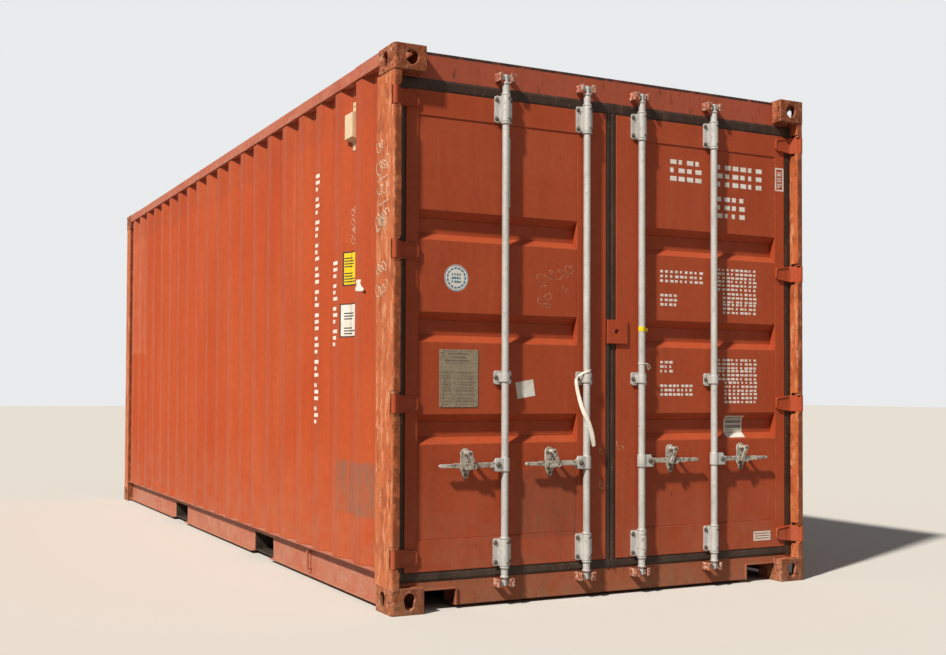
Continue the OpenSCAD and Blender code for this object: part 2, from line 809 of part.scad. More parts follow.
// Hinge blade about its own middle height: an eye, a cranked arm and a tapered plate with a rim.
module hinge_blade() {
    eye = [-hinge_in, -hinge_in];
    elbow = [-(blade_front + blade_back) / 2, -54];
    flare = 52;
    rim = 8;
    rim_d = 3;
    difference() {
        intersection() {
            translate([0, 0, -hinge_h / 2]) linear_extrude(hinge_h) {
                translate(eye) circle(r = hinge_eye_r, $fn = 48);
                polygon(strip(eye, elbow, hinge_t));
                translate([-blade_back, -hinge_reach]) square([hinge_t, hinge_reach - 50]);
            }
            translate([-100, 0, 0]) rotate([90, 0, 90]) linear_extrude(110) polygon([
                [10, -hinge_h / 2], [-flare, -hinge_h / 2],
                [-hinge_reach + 8, -hinge_tip_h / 2 - 4], [-hinge_reach, -hinge_tip_h / 2 + 6],
                [-hinge_reach, hinge_tip_h / 2 - 6], [-hinge_reach + 8, hinge_tip_h / 2 + 4],
                [-flare, hinge_h / 2], [10, hinge_h / 2]]);
        }
        translate([eye[0], eye[1], -hinge_h / 2 - eps])
            cylinder(r = hinge_pin_r + pin_gap, h = hinge_h + 2 * eps, $fn = 48);
        translate([-blade_front - rim_d, 0, 0]) rotate([90, 0, 90]) linear_extrude(hinge_t) polygon([
            [-flare - 12, -hinge_h / 2 + rim + 2], [-hinge_reach + rim, -hinge_tip_h / 2 + rim - 4],
            [-hinge_reach + rim, hinge_tip_h / 2 - rim + 4], [-flare - 12, hinge_h / 2 - rim - 2]]);
    }
}

module hinge_blades() {
    color(door_red) for (z = hinge_zs)
        translate([half_l, half_w, z]) hinge_blade();
}

module ventilator() {
    tab = vent_tab;
    tab_t = 3;
    d = side_depth - 2;
    foot = side_valley / 2 - 3;
    intersection() {
        translate([-vent_w / 2, 0, tab]) rotate([90, 0, 90]) linear_extrude(vent_w)
            polygon([[0, 0], [d, 14], [d, vent_h - 14], [0, vent_h]]);
        linear_extrude(vent_h + 2 * tab)
            polygon([[-foot, 0], [foot, 0], [vent_w / 2, 13], [vent_w / 2, d], [-vent_w / 2, d], [-vent_w / 2, 13]]);
    }
    difference() {
        translate([-vent_w / 6, 0, 0]) cube([vent_w / 3, tab_t, vent_h + 2 * tab]);
        for (z = [tab / 2, vent_h + 1.5 * tab]) translate([0, -eps, z]) rotate([-90, 0, 0])
            cylinder(r = 6, h = tab_t + 2 * eps, $fn = 32);
    }
}

vent_x = side_first_x + (side_waves - 1) * side_pitch + side_flat + side_slope + side_valley / 2;
vent_front_x = side_first_x + side_flat + side_slope + side_valley / 2;

module ventilators() {
    y0 = half_w - side_in - side_depth;
    z0 = wall_head_z - vent_drop - vent_h - 2 * vent_tab;
    color("#D9C9A8") {
        mirror([0, 1, 0]) translate([vent_x, y0, z0]) ventilator();
        translate([vent_front_x, y0, z0]) ventilator();
    }
}

module tie_back_hooks() {
    rod_r = hook_rod / 2;
    drop = hook_h;
    out = 24;
    lift = 34;
    hook_x = wall_back_x - hook_from_post;
    y0 = half_w - frame_recess - bottom_rail_top_flange + bottom_rail_t;
    color(red) for (left = [false, true]) flip_y(left) translate([hook_x, y0, base_z + lift]) {
        for (z = [0, drop]) translate([0, 0, z]) rotate([-90, 0, 0]) cylinder(r = rod_r, h = out, $fn = 24);
        translate([0, out, -rod_r]) cylinder(r = rod_r, h = drop + 2 * rod_r, $fn = 24);
    }
}

module door_frame() {
    color(door_red) difference() {
        translate([door_face_x - door_t, door_in_y, door_low_z])
            cube([door_t, door_out_y - door_in_y, door_high_z - door_low_z]);
        translate([door_face_x - door_t - eps, sheet_in_y, door_low_z + door_bottom_h])
            cube([door_t + 2 * eps, sheet_out_y - sheet_in_y,
                door_high_z - door_low_z - door_bottom_h - door_top_h]);
    }
}

// Door sheet with three pressed bands, as a folded line in Z and X.
module door_panel() {
    z0 = door_low_z + door_bottom_h;
    z1 = door_high_z - door_top_h;
    bands = [for (i = [0:2]) band_z0 - band_h / 2 + i * band_pitch];
    line = concat([[z0, 0]],
        [for (z = bands, p = [[z, 0], [z + band_slope, -band_depth],
            [z + band_h - band_slope, -band_depth], [z + band_h, 0]]) p],
        [[z1, 0]]);
    color(door_red) translate([door_face_x - door_sheet_in, sheet_out_y, 0]) rotate([90, 0, 0])
        linear_extrude(sheet_out_y - sheet_in_y)
        polygon([for (p = sheet(line, [0, -door_sheet_t])) [p[1], p[0]]]);
}

// One side of a seal lip, w wide and l long, with a raised middle between two slopes.
module seal_lip(w, l) {
    linear_extrude(l) polygon([
        [0, 0], [w, 0], [w, seal_edge_t], [w - seal_slope, seal_t], [seal_slope, seal_t], [0, seal_edge_t]]);
}

// Seal round one door: a lip over the frame behind it and a bulb on the door's edge.
module door_gasket() {
    seal_gap = 0.3;
    lip_x = seal_face_x + seal_gap;
    mid_y = 0.4;
    out_y = half_w - post_nose_w - 1;
    bulb_w = 14;
    bulb_d = 40;
    lip_low = door_low_z - seal_lap;
    lip_high = header_z + door_foot_gap;
    color(rubber) difference() {
        union() {
            for (m = [[lip_low, door_low_z], [door_high_z, lip_high]])
                translate([lip_x, out_y, m[0]]) rotate([90, 0, 0]) rotate([0, 0, 90]) mirror([0, 1, 0])
                    seal_lip(m[1] - m[0], out_y - mid_y);
            for (m = [[mid_y, door_in_y], [door_out_y, out_y]])
                translate([lip_x, m[0], lip_low]) rotate([0, 0, 90]) mirror([0, 1, 0])
                    seal_lip(m[1] - m[0], lip_high - lip_low);
            translate([lip_x - bulb_d, door_in_y - bulb_w, door_low_z - bulb_w + 1])
                cube([bulb_d, door_out_y - door_in_y + 2 * bulb_w, door_high_z - door_low_z + 2 * bulb_w - 2]);
        }
        translate([lip_x - bulb_d - eps, door_in_y, door_low_z])
            cube([bulb_d + seal_t + 2 * eps, door_out_y - door_in_y, door_high_z - door_low_z]);
    }
}

// Plate of width w and height h with round corners, centred.
module round_plate(w, h, r) {
    square([w - 2 * r, h], center = true);
    square([w, h - 2 * r], center = true);
    for (a = [-1, 1], b = [-1, 1]) translate([a * (w / 2 - r), b * (h / 2 - r)]) circle(r = r, $fn = 32);
}

// Bearing of a lock bar: a pressed plate that is bolted to the door and bulges over the bar.
module bearing(w, h, saddle) {
    reach = door_face_in - bar_in;
    difference() {
        union() {
            translate([-reach, 0, 0]) rotate([90, 0, 90]) linear_extrude(bracket_t) round_plate(w, h, bracket_round);
            translate([-reach, -saddle_r, -saddle / 2]) cube([reach, 2 * saddle_r, saddle]);
            translate([0, 0, -saddle / 2]) cylinder(r = saddle_r, h = saddle, $fn = 64);
        }
        translate([0, 0, -h]) cylinder(r = bar_r + bearing_gap, h = 2 * h, $fn = 64);
    }
}

module bar_brackets() {
    color(zinc) for (y = [inner_bar_y, outer_bar_y]) {
        for (z = bracket_zs) translate([bar_x, y, z]) bearing(bracket_w, bracket_h, saddle_h);
        translate([bar_x, y, guide_z]) bearing(bracket_w, guide_h, guide_saddle_h);
    }
}

// One cheek of the hub that holds the handle, with its upper outer corner notched.
module hub_cheek(t, h) {
    reach = handle_pivot + 20;
    notch = 17;
    rotate([90, 0, 90]) linear_extrude(t) polygon(concat(
        [[0, -h / 2], [reach - 8, -h / 2]],
        arc([reach - 8, -h / 2 + 8], 8, -90, 0, 3),
        [[reach, h / 2 - notch], [reach - notch / 2, h / 2 - notch], [reach - notch, h / 2], [0, h / 2]]));
}

module lock_bar(y) {
    hub_h = 62;
    ring_h = 8;
    color(zinc) translate([bar_x, y, 0]) {
        translate([0, 0, cam_low_z + bar_end_gap])
            cylinder(r = bar_r, h = cam_top_z - cam_low_z - 2 * bar_end_gap, $fn = 64);
        translate([0, 0, cam_low_z - cam_h / 2])
            cylinder(r = cam_shaft_r, h = cam_top_z - cam_low_z + cam_h, $fn = 48);
        for (z = [cam_low_z + bar_end_gap, cam_top_z - bar_end_gap - ring_h]) translate([0, 0, z])
            cylinder(r = collar_r - 2, h = ring_h, $fn = 64);
        for (z = bracket_zs, s = [-1, 1])
            translate([0, 0, z + s * (saddle_h / 2 + collar_gap + collar_h / 2) - collar_h / 2])
                cylinder(r = collar_r, h = collar_h, $fn = 64);
        translate([0, 0, handle_z - hub_h / 2]) cylinder(r = collar_r, h = hub_h, $fn = 64);
        translate([-hub_back, 0, handle_z]) hub_cheek(hub_back - 1, hub_h);
        translate([handle_t + 1, 0, handle_z]) hub_cheek(hub_front - handle_t - 1, hub_h);
        translate([-hub_back + 1, handle_pivot, handle_z]) rotate([0, 90, 0])
            cylinder(r = rivet_r, h = hub_back + hub_front - 2, $fn = 48);
        for (z = [cam_low_z, cam_top_z]) translate([0, 0, z - cam_h / 2]) linear_extrude(cam_h) {
            polygon(strip([0, 0], [-4, -cam_reach], cam_t));
            polygon(strip([0, 0], [0, lever_reach], cam_t));
        }
    }
}

module lock_handle(y) {
    grip_l = 84;
    color(zinc) translate([bar_x + handle_back, y + handle_pivot, handle_z]) rotate([90, 0, 90])
        linear_extrude(handle_t) difference() {
            union() {
                circle(r = handle_h / 2 + 1, $fn = 48);
                translate([0, -handle_h / 2]) square([handle_l - grip_l, handle_h]);
                translate([handle_l - grip_l, 0]) polygon([
                    [-1, -handle_h / 2], [12, -handle_h / 2 + 3], [grip_l - 14, -handle_h / 2 + 3],
                    [grip_l - 4, -handle_h / 2 + 6], [grip_l, 0], [grip_l - 4, handle_h / 2 - 6],
                    [grip_l - 14, handle_h / 2 - 3], [12, handle_h / 2 - 3], [-1, handle_h / 2]]);
            }
            circle(r = rivet_r + pin_gap, $fn = 48);
        }
}

// Base plate of a retainer: round at the top, narrow at the foot.
module retainer_outline() {
    foot_r = 12;
    r = retainer_w / 2;
    top_z = retainer_h / 2 - r;
    foot_z = -retainer_h / 2 + foot_r;
    translate([0, top_z]) circle(r = r, $fn = 48);
    translate([0, foot_z]) circle(r = foot_r, $fn = 32);
    polygon([[-r, top_z], [-r, foot_z + 28], [-foot_r, foot_z], [foot_r, foot_z], [r, foot_z + 28], [r, top_z]]);
}

// Retainer on the door: a base plate, a seat under the handle and a boss for the catch.
module handle_retainer(y) {
    plate_t = 6;
    seat_w = 40;
    seat_t = 7;
    seat_z = handle_z - handle_h / 2 - 0.4 - seat_t;
    lip_t = 4;
    lip_h = 9;
    lip_in = bar_in - handle_t - 6;
    color(zinc) translate([half_l, y + retainer_y, 0]) {
        translate([-door_face_in, 0, handle_z + 7]) rotate([90, 0, 90])
            linear_extrude(plate_t) retainer_outline();
        translate([-door_face_in, -seat_w / 2, seat_z]) cube([door_face_in - lip_in, seat_w, seat_t]);
        translate([-lip_in - lip_t, -seat_w / 2, seat_z]) cube([lip_t, seat_w, seat_t + lip_h]);
        translate([-door_face_in, -4, seat_z - 18]) cube([24, 8, 19]);
        translate([-door_face_in, 0, catch_z]) rotate([0, 90, 0])
            cylinder(r = boss_r, h = door_face_in - catch_front_in - catch_t - 0.3, $fn = 32);
        translate([-door_face_in, 0, catch_z]) rotate([0, 90, 0])
            cylinder(r = boss_r - 4, h = door_face_in - catch_front_in, $fn = 32);
    }
}

module handle_retainers() {
    for (y = [inner_bar_y, outer_bar_y]) handle_retainer(y);
}

module handle_catch(y) {
    color(rust) translate([half_l - catch_front_in - catch_t, y + retainer_y, catch_z])
        rotate([90, 0, 90]) difference() {
            union() {
                cylinder(r = 13, h = catch_t, $fn = 40);
                linear_extrude(catch_t) polygon(strip([0, 0], catch_drop, 20));
                translate([catch_drop[0], catch_drop[1], 0]) cylinder(r = 12, h = catch_t, $fn = 40);
            }
            translate([0, 0, -eps]) cylinder(r = boss_r - 4 + pin_gap, h = catch_t + 2 * eps, $fn = 32);
            translate([catch_drop[0], catch_drop[1], -eps]) cylinder(r = 5, h = catch_t + 2 * eps, $fn = 24);
        }
}

module data_plate() {
    plate_t = 2;
    color("#8E938F") translate([door_face_x - door_sheet_in, -sheet_out_y + data_plate_in,
        data_plate_z - data_plate_h / 2])
        cube([plate_t, data_plate_w, data_plate_h]);
}

module lock_plate() {
    y0 = -lock_plate_over;
    plate_t = 10;
    hole_y = 29;
    hole_r = 12;
    color(door_red) difference() {
        translate([door_face_x, y0, lock_plate_z - lock_plate_size / 2])
            cube([plate_t, lock_plate_size, lock_plate_size]);
        translate([door_face_x - eps, hole_y, lock_plate_z]) rotate([0, 90, 0])
            cylinder(r = hole_r, h = plate_t + 3 * eps, $fn = 40);
    }
}

corner_fittings(true);  // corner_fittings_top
corner_fittings(false);  // corner_fittings_bottom
flip_y(true) bottom_side_rail();  // bottom_side_rail_left
bottom_side_rail();  // bottom_side_rail_right
flip_y(true) top_side_rail();  // top_side_rail_left
top_side_rail();  // top_side_rail_right
flip_y(true) door_post();  // door_post_left
door_post();  // door_post_right
flip_y(true) front_post();  // front_post_left
front_post();  // front_post_right
door_sill();
door_header();
front_sill();
front_top_rail();
flip_y(true) side_wall();  // side_wall_left
side_wall();  // side_wall_right
front_wall();
roof_panel();
roof_corner_plates();
floor_boards();
cross_members();
fork_pockets();
cam_keepers();
hinge_lugs();
hinge_pins();
ventilators();
tie_back_hooks();
flip_y(true) door_frame();  // door_frame_left
flip_y(true) door_panel();  // door_panel_left
flip_y(true) door_gasket();  // door_gasket_left
flip_y(true) hinge_blades();  // hinge_blades_left
flip_y(true) bar_brackets();  // bar_brackets_left
flip_y(true) handle_retainers();  // handle_retainers_left
data_plate();
door_frame();  // door_frame_right
door_panel();  // door_panel_right
door_gasket();  // door_gasket_right
hinge_blades();  // hinge_blades_right
bar_brackets();  // bar_brackets_right
handle_retainers();  // handle_retainers_right
lock_plate();
flip_y(true) lock_bar(outer_bar_y);  // lock_bar_1
flip_y(true) lock_bar(inner_bar_y);  // lock_bar_2
lock_bar(inner_bar_y);  // lock_bar_3
lock_bar(outer_bar_y);  // lock_bar_4
flip_y(true) lock_handle(outer_bar_y);  // lock_handle_1
flip_y(true) lock_handle(inner_bar_y);  // lock_handle_2
lock_handle(inner_bar_y);  // lock_handle_3
lock_handle(outer_bar_y);  // lock_handle_4
flip_y(true) handle_catch(outer_bar_y);  // handle_catch_1
flip_y(true) handle_catch(inner_bar_y);  // handle_catch_2
handle_catch(inner_bar_y);  // handle_catch_3
handle_catch(outer_bar_y);  // handle_catch_4
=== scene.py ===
# %% [markdown]
# A twenty-foot steel cargo container, dressed for a picture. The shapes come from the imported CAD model,
# which is loaded once and never changed. This lesson adds what CAD leaves out: paint, rust, zinc and rubber
# as node materials, and the small pieces such as bolts, weld beads and stickers.

# %% Load the frame
import math
import random

import bmesh
import bpy
from mathutils import Matrix, Vector


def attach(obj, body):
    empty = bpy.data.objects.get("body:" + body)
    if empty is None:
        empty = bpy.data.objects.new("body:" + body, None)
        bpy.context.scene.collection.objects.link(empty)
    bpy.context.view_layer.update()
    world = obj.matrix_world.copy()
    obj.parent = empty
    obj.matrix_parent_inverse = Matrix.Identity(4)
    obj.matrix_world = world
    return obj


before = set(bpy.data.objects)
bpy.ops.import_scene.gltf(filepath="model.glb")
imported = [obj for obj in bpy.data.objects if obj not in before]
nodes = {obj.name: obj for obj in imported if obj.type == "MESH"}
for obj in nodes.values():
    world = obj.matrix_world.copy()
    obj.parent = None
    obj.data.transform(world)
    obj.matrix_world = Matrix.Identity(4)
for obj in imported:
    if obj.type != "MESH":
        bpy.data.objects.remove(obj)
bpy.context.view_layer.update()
scene = bpy.context.scene
scene.view_settings.view_transform = "Standard"

# %% [markdown]
# The camera stands low, about a metre above the ground, off the left corner of the door end. Its place and
# turn were worked out from the corner fittings, so the two walls meet the frame where they should. A real
# architectural lens is shifted up to keep the posts upright, and a small shift up and to the side is used
# here.

# %% Camera
MM = 0.001
IMAGE_WIDTH = 946
camera_place = Vector((7763.7, -3323.8, 1017.2)) * MM
camera_turn = 2.68558
camera_pitch = 0.02290
camera_roll = 0.00463
focal_pixels = 1153.60
shift_up_pixels = 35.75
shift_side_pixels = 36.67

ahead = Vector((math.cos(camera_pitch) * math.cos(camera_turn),
                math.cos(camera_pitch) * math.sin(camera_turn),
                math.sin(camera_pitch)))
level_right = ahead.cross(Vector((0, 0, 1))).normalized()
level_up = level_right.cross(ahead)
right = level_right * math.cos(camera_roll) + level_up * math.sin(camera_roll)
up = level_up * math.cos(camera_roll) - level_right * math.sin(camera_roll)

lens = bpy.data.cameras.new("camera")
lens.sensor_width = 36.0
lens.lens = focal_pixels * lens.sensor_width / IMAGE_WIDTH
lens.shift_x = shift_side_pixels / IMAGE_WIDTH
lens.shift_y = shift_up_pixels / IMAGE_WIDTH
lens.clip_end = 500.0
camera = bpy.data.objects.new("camera", lens)
camera.matrix_world = Matrix((right, up, -ahead)).transposed().to_4x4()
camera.location = camera_place
scene.collection.objects.link(camera)
scene.camera = camera
print("lens", round(lens.lens, 2), "mm, shift", round(lens.shift_y, 4))

# %% [markdown]
# A material here is a small net of nodes. One helper adds a node, sets its settings and joins its inputs,
# so that a recipe reads as a list. Colours are written as sRGB hex, the way a paint card gives them, and
# one function turns them to the linear values that the renderer works in.

# %% Helpers for colour and nodes
def linear(hex_colour):
    values = [int(hex_colour[i:i + 2], 16) / 255 for i in (1, 3, 5)]
    return tuple(v / 12.92 if v <= 0.04045 else ((v + 0.055) / 1.055) ** 2.4 for v in values) + (1.0,)


def add(tree, kind, inputs=None, **settings):
    node = tree.nodes.new(kind)
    for name, value in settings.items():
        setattr(node, name, value)
    for name, value in (inputs or {}).items():
        socket = node.inputs[name]
        if isinstance(value, bpy.types.Node):
            value = value.outputs[0]
        if isinstance(value, bpy.types.NodeSocket):
            tree.links.new(value, socket)
        else:
            socket.default_value = value
    return node


def empty_tree(owner):
    owner.use_nodes = True
    owner.node_tree.nodes.clear()
    return owner.node_tree


print("mid grey #808080 is", round(linear("#808080")[0], 3), "in linear light")

# %% [markdown]
# The studio is one far sun-like lamp, softened a little, and a pale sky that fills the shadows. The lamp
# comes from the left of the doors and above, so the long side is the brighter wall and the bars throw their
# shadows to the right. The floor looks pale to the camera, but it throws back less light than a white floor
# would.

# %% Light and floor
lamp_direction = Vector((0.287, -0.644, 0.708)).normalized()
lamp = bpy.data.lights.new("key_lamp", "SUN")
lamp.energy = 5.2
lamp.angle = math.radians(3.0)
lamp.color = (1.0, 0.965, 0.91)
lamp_object = bpy.data.objects.new("key_lamp", lamp)
lamp_object.rotation_euler = lamp_direction.to_track_quat("Z", "Y").to_euler()
lamp_object.location = lamp_direction * 12
scene.collection.objects.link(lamp_object)


def seen_directly(tree):
    path = add(tree, "ShaderNodeLightPath")
    first = add(tree, "ShaderNodeMath",
                {0: path.outputs["Is Camera Ray"], 1: path.outputs["Is Glossy Ray"]}, operation="MAXIMUM")
    both = add(tree, "ShaderNodeMath",
               {0: first.outputs[0], 1: path.outputs["Is Transmission Ray"]}, operation="MAXIMUM")
    return both.outputs[0]


sky = bpy.data.worlds.new("studio_sky")
scene.world = sky
sky_tree = empty_tree(sky)
sky_fill = add(sky_tree, "ShaderNodeBackground", {"Color": linear("#E6EAF0"), "Strength": 0.27})
sky_shown = add(sky_tree, "ShaderNodeBackground", {"Color": linear("#E9EBEC"), "Strength": 1.0})
sky_mix = add(sky_tree, "ShaderNodeMixShader", {0: seen_directly(sky_tree), 1: sky_fill, 2: sky_shown})
add(sky_tree, "ShaderNodeOutputWorld", {"Surface": sky_mix})

floor_material = bpy.data.materials.new("pale_studio_floor")
floor_tree = empty_tree(floor_material)
floor_shown = add(floor_tree, "ShaderNodeBsdfDiffuse", {"Color": linear("#C8C3BB")})
floor_bounce = add(floor_tree, "ShaderNodeBsdfDiffuse", {"Color": linear("#887E72")})
floor_mix = add(floor_tree, "ShaderNodeMixShader",
                {0: seen_directly(floor_tree), 1: floor_bounce, 2: floor_shown})
add(floor_tree, "ShaderNodeOutputMaterial", {"Surface": floor_mix})

floor_reach = 60.0
floor_mesh = bmesh.new()
bmesh.ops.create_grid(floor_mesh, x_segments=2, y_segments=2, size=floor_reach)
floor_data = bpy.data.meshes.new("studio_floor")
floor_mesh.to_mesh(floor_data)
floor_mesh.free()
floor = bpy.data.objects.new("studio_floor", floor_data)
floor_data.materials.append(floor_material)
scene.collection.objects.link(floor)
print("lamp, sky and floor are in place")

# %% [markdown]
# Every surface here was coated once and has weathered since, so one recipe serves them all. It starts from
# a base colour and lays ragged coats over it, each one a noise pattern with its own grain in millimetres,
# its own pull along the height for water runs, and its own share. The last coat is always the deepest rust
# or dirt, and it also pits and dulls the surface. Patterns use object coordinates, which are metres, so a
# scale is one over a real size.

# %% Ragged coats
def lay_coats(tree, place, colour, coats):
    share = 0.0
    for size_mm, drawn_out, start, full, most, over in coats:
        spot = add(tree, "ShaderNodeMapping", {"Vector": place, "Scale": (1.0, 1.0, 1.0 / drawn_out)})
        cloud = add(tree, "ShaderNodeTexNoise",
                    {"Vector": spot, "Scale": 1000 / size_mm, "Detail": 6.0, "Roughness": 0.66})
        share = add(tree, "ShaderNodeMapRange",
                    {"Value": cloud, "From Min": start, "From Max": full, "To Max": most})
        colour = add(tree, "ShaderNodeMix",
                     {0: share, 6: colour, 7: linear(over)}, data_type="RGBA").outputs[2]
    return colour, share


# %% [markdown]
# Some places are worn for a reason: a scuff where a truck door rubbed, a strip that was painted again.
# Other marks are painted light: a paler strip at the far end of the long wall is a painted highlight, and a
# darker band under its top rail is painted shade. The header gets a near-black band along its top edge.
# Such a mark is a box in the object's own coordinates. Noise pushes its edges about, so that it looks worn
# and not cut out. A sheet is only two millimetres thick, so a mark also asks which way the face looks, and
# stays on the outside.

# %% Marks at one place
def lay_mark(tree, place, colour, low, high, ragged, most, over, turned_to=None):
    push = Vector((ragged, ragged, ragged)) * MM
    low = Vector(low) * MM - push / 2
    high = Vector(high) * MM + push * 1.5
    cloud = add(tree, "ShaderNodeTexNoise",
                {"Vector": place, "Scale": 0.6 / (ragged * MM), "Detail": 6.0, "Roughness": 0.7})
    moved = add(tree, "ShaderNodeVectorMath",
                {0: cloud.outputs["Color"], 1: push, 2: place}, operation="MULTIPLY_ADD")
    edge = push * 0.4
    above = add(tree, "ShaderNodeMapRange", {6: moved, 7: low, 8: low + edge}, data_type="FLOAT_VECTOR")
    below = add(tree, "ShaderNodeMapRange", {6: moved, 7: high, 8: high - edge}, data_type="FLOAT_VECTOR")
    inside = add(tree, "ShaderNodeVectorMath",
                 {0: above.outputs[1], 1: below.outputs[1]}, operation="MULTIPLY")
    sides = add(tree, "ShaderNodeSeparateXYZ", {0: inside})
    flat = add(tree, "ShaderNodeMath", {0: sides.outputs[0], 1: sides.outputs[1]}, operation="MULTIPLY")
    full = add(tree, "ShaderNodeMath", {0: flat, 1: sides.outputs[2]}, operation="MULTIPLY")
    smear = add(tree, "ShaderNodeMapping", {"Vector": place, "Scale": (1.0, 1.0, 0.2)})
    streak = add(tree, "ShaderNodeTexNoise",
                 {"Vector": smear, "Scale": 1000 / 36, "Detail": 6.0, "Roughness": 0.7})
    worn = add(tree, "ShaderNodeMapRange",
               {"Value": streak, "From Min": 0.3, "From Max": 0.62, "To Max": most})
    share = add(tree, "ShaderNodeMath", {0: full, 1: worn}, operation="MULTIPLY")
    if turned_to:
        share = add(tree, "ShaderNodeMath", {0: share, 1: turned_to}, operation="MULTIPLY")
    return add(tree, "ShaderNodeMix", {0: share, 6: colour, 7: linear(over)}, data_type="RGBA").outputs[2]


# %% [markdown]
# Dirt and rubbed edges depend on the shape: on the height, or on the turn of a face. Such a share would
# fade like an airbrush, so noise breaks it up into patches before its colour is laid on.

# %% Patches
def lay_patches(tree, place, colour, share, over, size_mm, start, full, roughness=0.66):
    cloud = add(tree, "ShaderNodeTexNoise",
                {"Vector": place, "Scale": 1000 / size_mm, "Detail": 6.0, "Roughness": roughness})
    patchy = add(tree, "ShaderNodeMapRange", {"Value": cloud, "From Min": start, "From Max": full})
    share = add(tree, "ShaderNodeMath", {0: share, 1: patchy}, operation="MULTIPLY")
    return add(tree, "ShaderNodeMix", {0: share, 6: colour, 7: linear(over)}, data_type="RGBA").outputs[2]


# %% [markdown]
# The relief is bump in three sizes, each laid on the one before: slow waves in the sheet, the fine grain of
# the coating, and pits where the last coat, the rust, shows.

# %% Relief
SWELL_MM = 420
PIT_MM = 0.8


def lay_relief(tree, place, rounded, rust, wave_mm, grain_mm, grain_size_mm):
    swell = add(tree, "ShaderNodeTexNoise", {"Vector": place, "Scale": 1000 / SWELL_MM, "Detail": 1.5})
    wave = add(tree, "ShaderNodeBump",
               {"Height": swell, "Distance": wave_mm * 6 * MM, "Strength": 1.0, "Normal": rounded})
    grit = add(tree, "ShaderNodeTexNoise", {"Vector": place, "Scale": 1000 / grain_size_mm, "Detail": 3.0})
    grain = add(tree, "ShaderNodeBump",
                {"Height": grit, "Distance": grain_mm * MM, "Strength": 0.7, "Normal": wave})
    return add(tree, "ShaderNodeBump",
               {"Height": rust, "Distance": PIT_MM * MM, "Strength": 0.6, "Normal": grain}, invert=True)


# %% [markdown]
# The whole recipe puts these together. A face that looks forward, toward the door end, can take its own
# colour: painted shade where that colour is darker, a painted highlight where it is paler. A face that looks
# up can have its own colour too, splashed dust fades out with height, and edges are rubbed bare. Blender's
# bevel node finds them, because the normal that it rounds off turns away from the flat one there.

# %% One recipe for weathered surfaces
def weathered(name, base, coats, marks=(), marks_face=None, edge=None, splash=None, settled=None,
              front_shade_and_highlight=None, spangle_mm=0.0, wave_mm=0.0, grain_mm=0.12, grain_size_mm=5.0, rough=0.62,
              metallic=0.0, along=(1, 1, 1)):
    material = bpy.data.materials.new(name)
    material.diffuse_color = linear(base)
    tree = empty_tree(material)
    where = add(tree, "ShaderNodeTexCoord")
    place = add(tree, "ShaderNodeMapping", {"Vector": where.outputs["Object"], "Scale": along}).outputs[0]
    looks = add(tree, "ShaderNodeSeparateXYZ", {0: where.outputs["Normal"]})
    colour, rust = lay_coats(tree, place, linear(base), coats)
    if spangle_mm:
        cells = add(tree, "ShaderNodeTexVoronoi", {"Vector": place, "Scale": 1000 / spangle_mm})
        grey = add(tree, "ShaderNodeSeparateColor", {0: cells.outputs["Color"]})
        shade = add(tree, "ShaderNodeMapRange", {"Value": grey, "To Min": 0.92, "To Max": 1.07})
    else:
        cloud = add(tree, "ShaderNodeTexNoise", {"Vector": place, "Scale": 1000 / 28, "Detail": 3.0})
        shade = add(tree, "ShaderNodeMapRange",
                    {"Value": cloud, "From Min": 0.3, "From Max": 0.7, "To Min": 0.93, "To Max": 1.06})
    colour = add(tree, "ShaderNodeVectorMath", {0: colour, "Scale": shade}, operation="SCALE").outputs[0]
    outward = None
    if marks_face:
        facing = add(tree, "ShaderNodeVectorMath",
                     {0: where.outputs["Normal"], 1: marks_face}, operation="DOT_PRODUCT")
        outward = add(tree, "ShaderNodeMapRange",
                      {"Value": facing.outputs["Value"], "From Max": 0.3}).outputs[0]
    for low, high, ragged, most, over in marks:
        colour = lay_mark(tree, where.outputs["Object"], colour, low, high, ragged, most, over, outward)
    # Forward faces get painted shade where the colour is darker and a painted highlight where it is paler;
    # upward faces get settled dust.
    for turn, side in ((front_shade_and_highlight, looks.outputs[0]), (settled, looks.outputs[2])):
        if turn:
            most, over = turn
            facing = add(tree, "ShaderNodeMapRange",
                         {"Value": side, "From Min": 0.3, "From Max": 0.9, "To Max": most})
            colour = lay_patches(tree, place, colour, facing, over, size_mm=45, start=0.3, full=0.55)
    if splash:
        reach, most, over = splash
        height = add(tree, "ShaderNodeSeparateXYZ", {0: where.outputs["Object"]})
        fading = add(tree, "ShaderNodeMapRange",
                     {"Value": height.outputs[2], "From Min": reach, "From Max": 0.0, "To Max": most})
        colour = lay_patches(tree, place, colour, fading, over, size_mm=120, start=0.3, full=0.7,
                             roughness=0.65)
    rounded = add(tree, "ShaderNodeBevel", {"Radius": 7 * MM}, samples=4)
    if edge:
        most, over = edge
        flat = add(tree, "ShaderNodeNewGeometry").outputs["Normal"]
        turned_by = add(tree, "ShaderNodeVectorMath", {0: rounded, 1: flat}, operation="DOT_PRODUCT")
        rubbed = add(tree, "ShaderNodeMapRange", {"Value": turned_by.outputs["Value"], "From Min": 0.985,
                                                  "From Max": 0.85, "To Max": most})
        colour = lay_patches(tree, place, colour, rubbed, over, size_mm=50, start=0.4, full=0.6,
                             roughness=0.7)
    pitted = lay_relief(tree, place, rounded, rust, wave_mm, grain_mm, grain_size_mm)
    haze = add(tree, "ShaderNodeTexNoise", {"Vector": place, "Scale": 1000 / 70, "Detail": 4.0})
    dull = add(tree, "ShaderNodeMapRange", {"Value": haze, "From Min": 0.3, "From Max": 0.7,
                                            "To Min": rough - 0.07, "To Max": rough + 0.07})
    duller = add(tree, "ShaderNodeMath", {0: rust, 1: 0.22, 2: dull}, operation="MULTIPLY_ADD")
    shader = add(tree, "ShaderNodeBsdfPrincipled",
                 {"Base Color": colour, "Roughness": duller, "Normal": pitted, "Metallic": metallic,
                  "IOR": 1.5, "Specular IOR Level": 0.3})
    add(tree, "ShaderNodeOutputMaterial", {"Surface": shader})
    return material
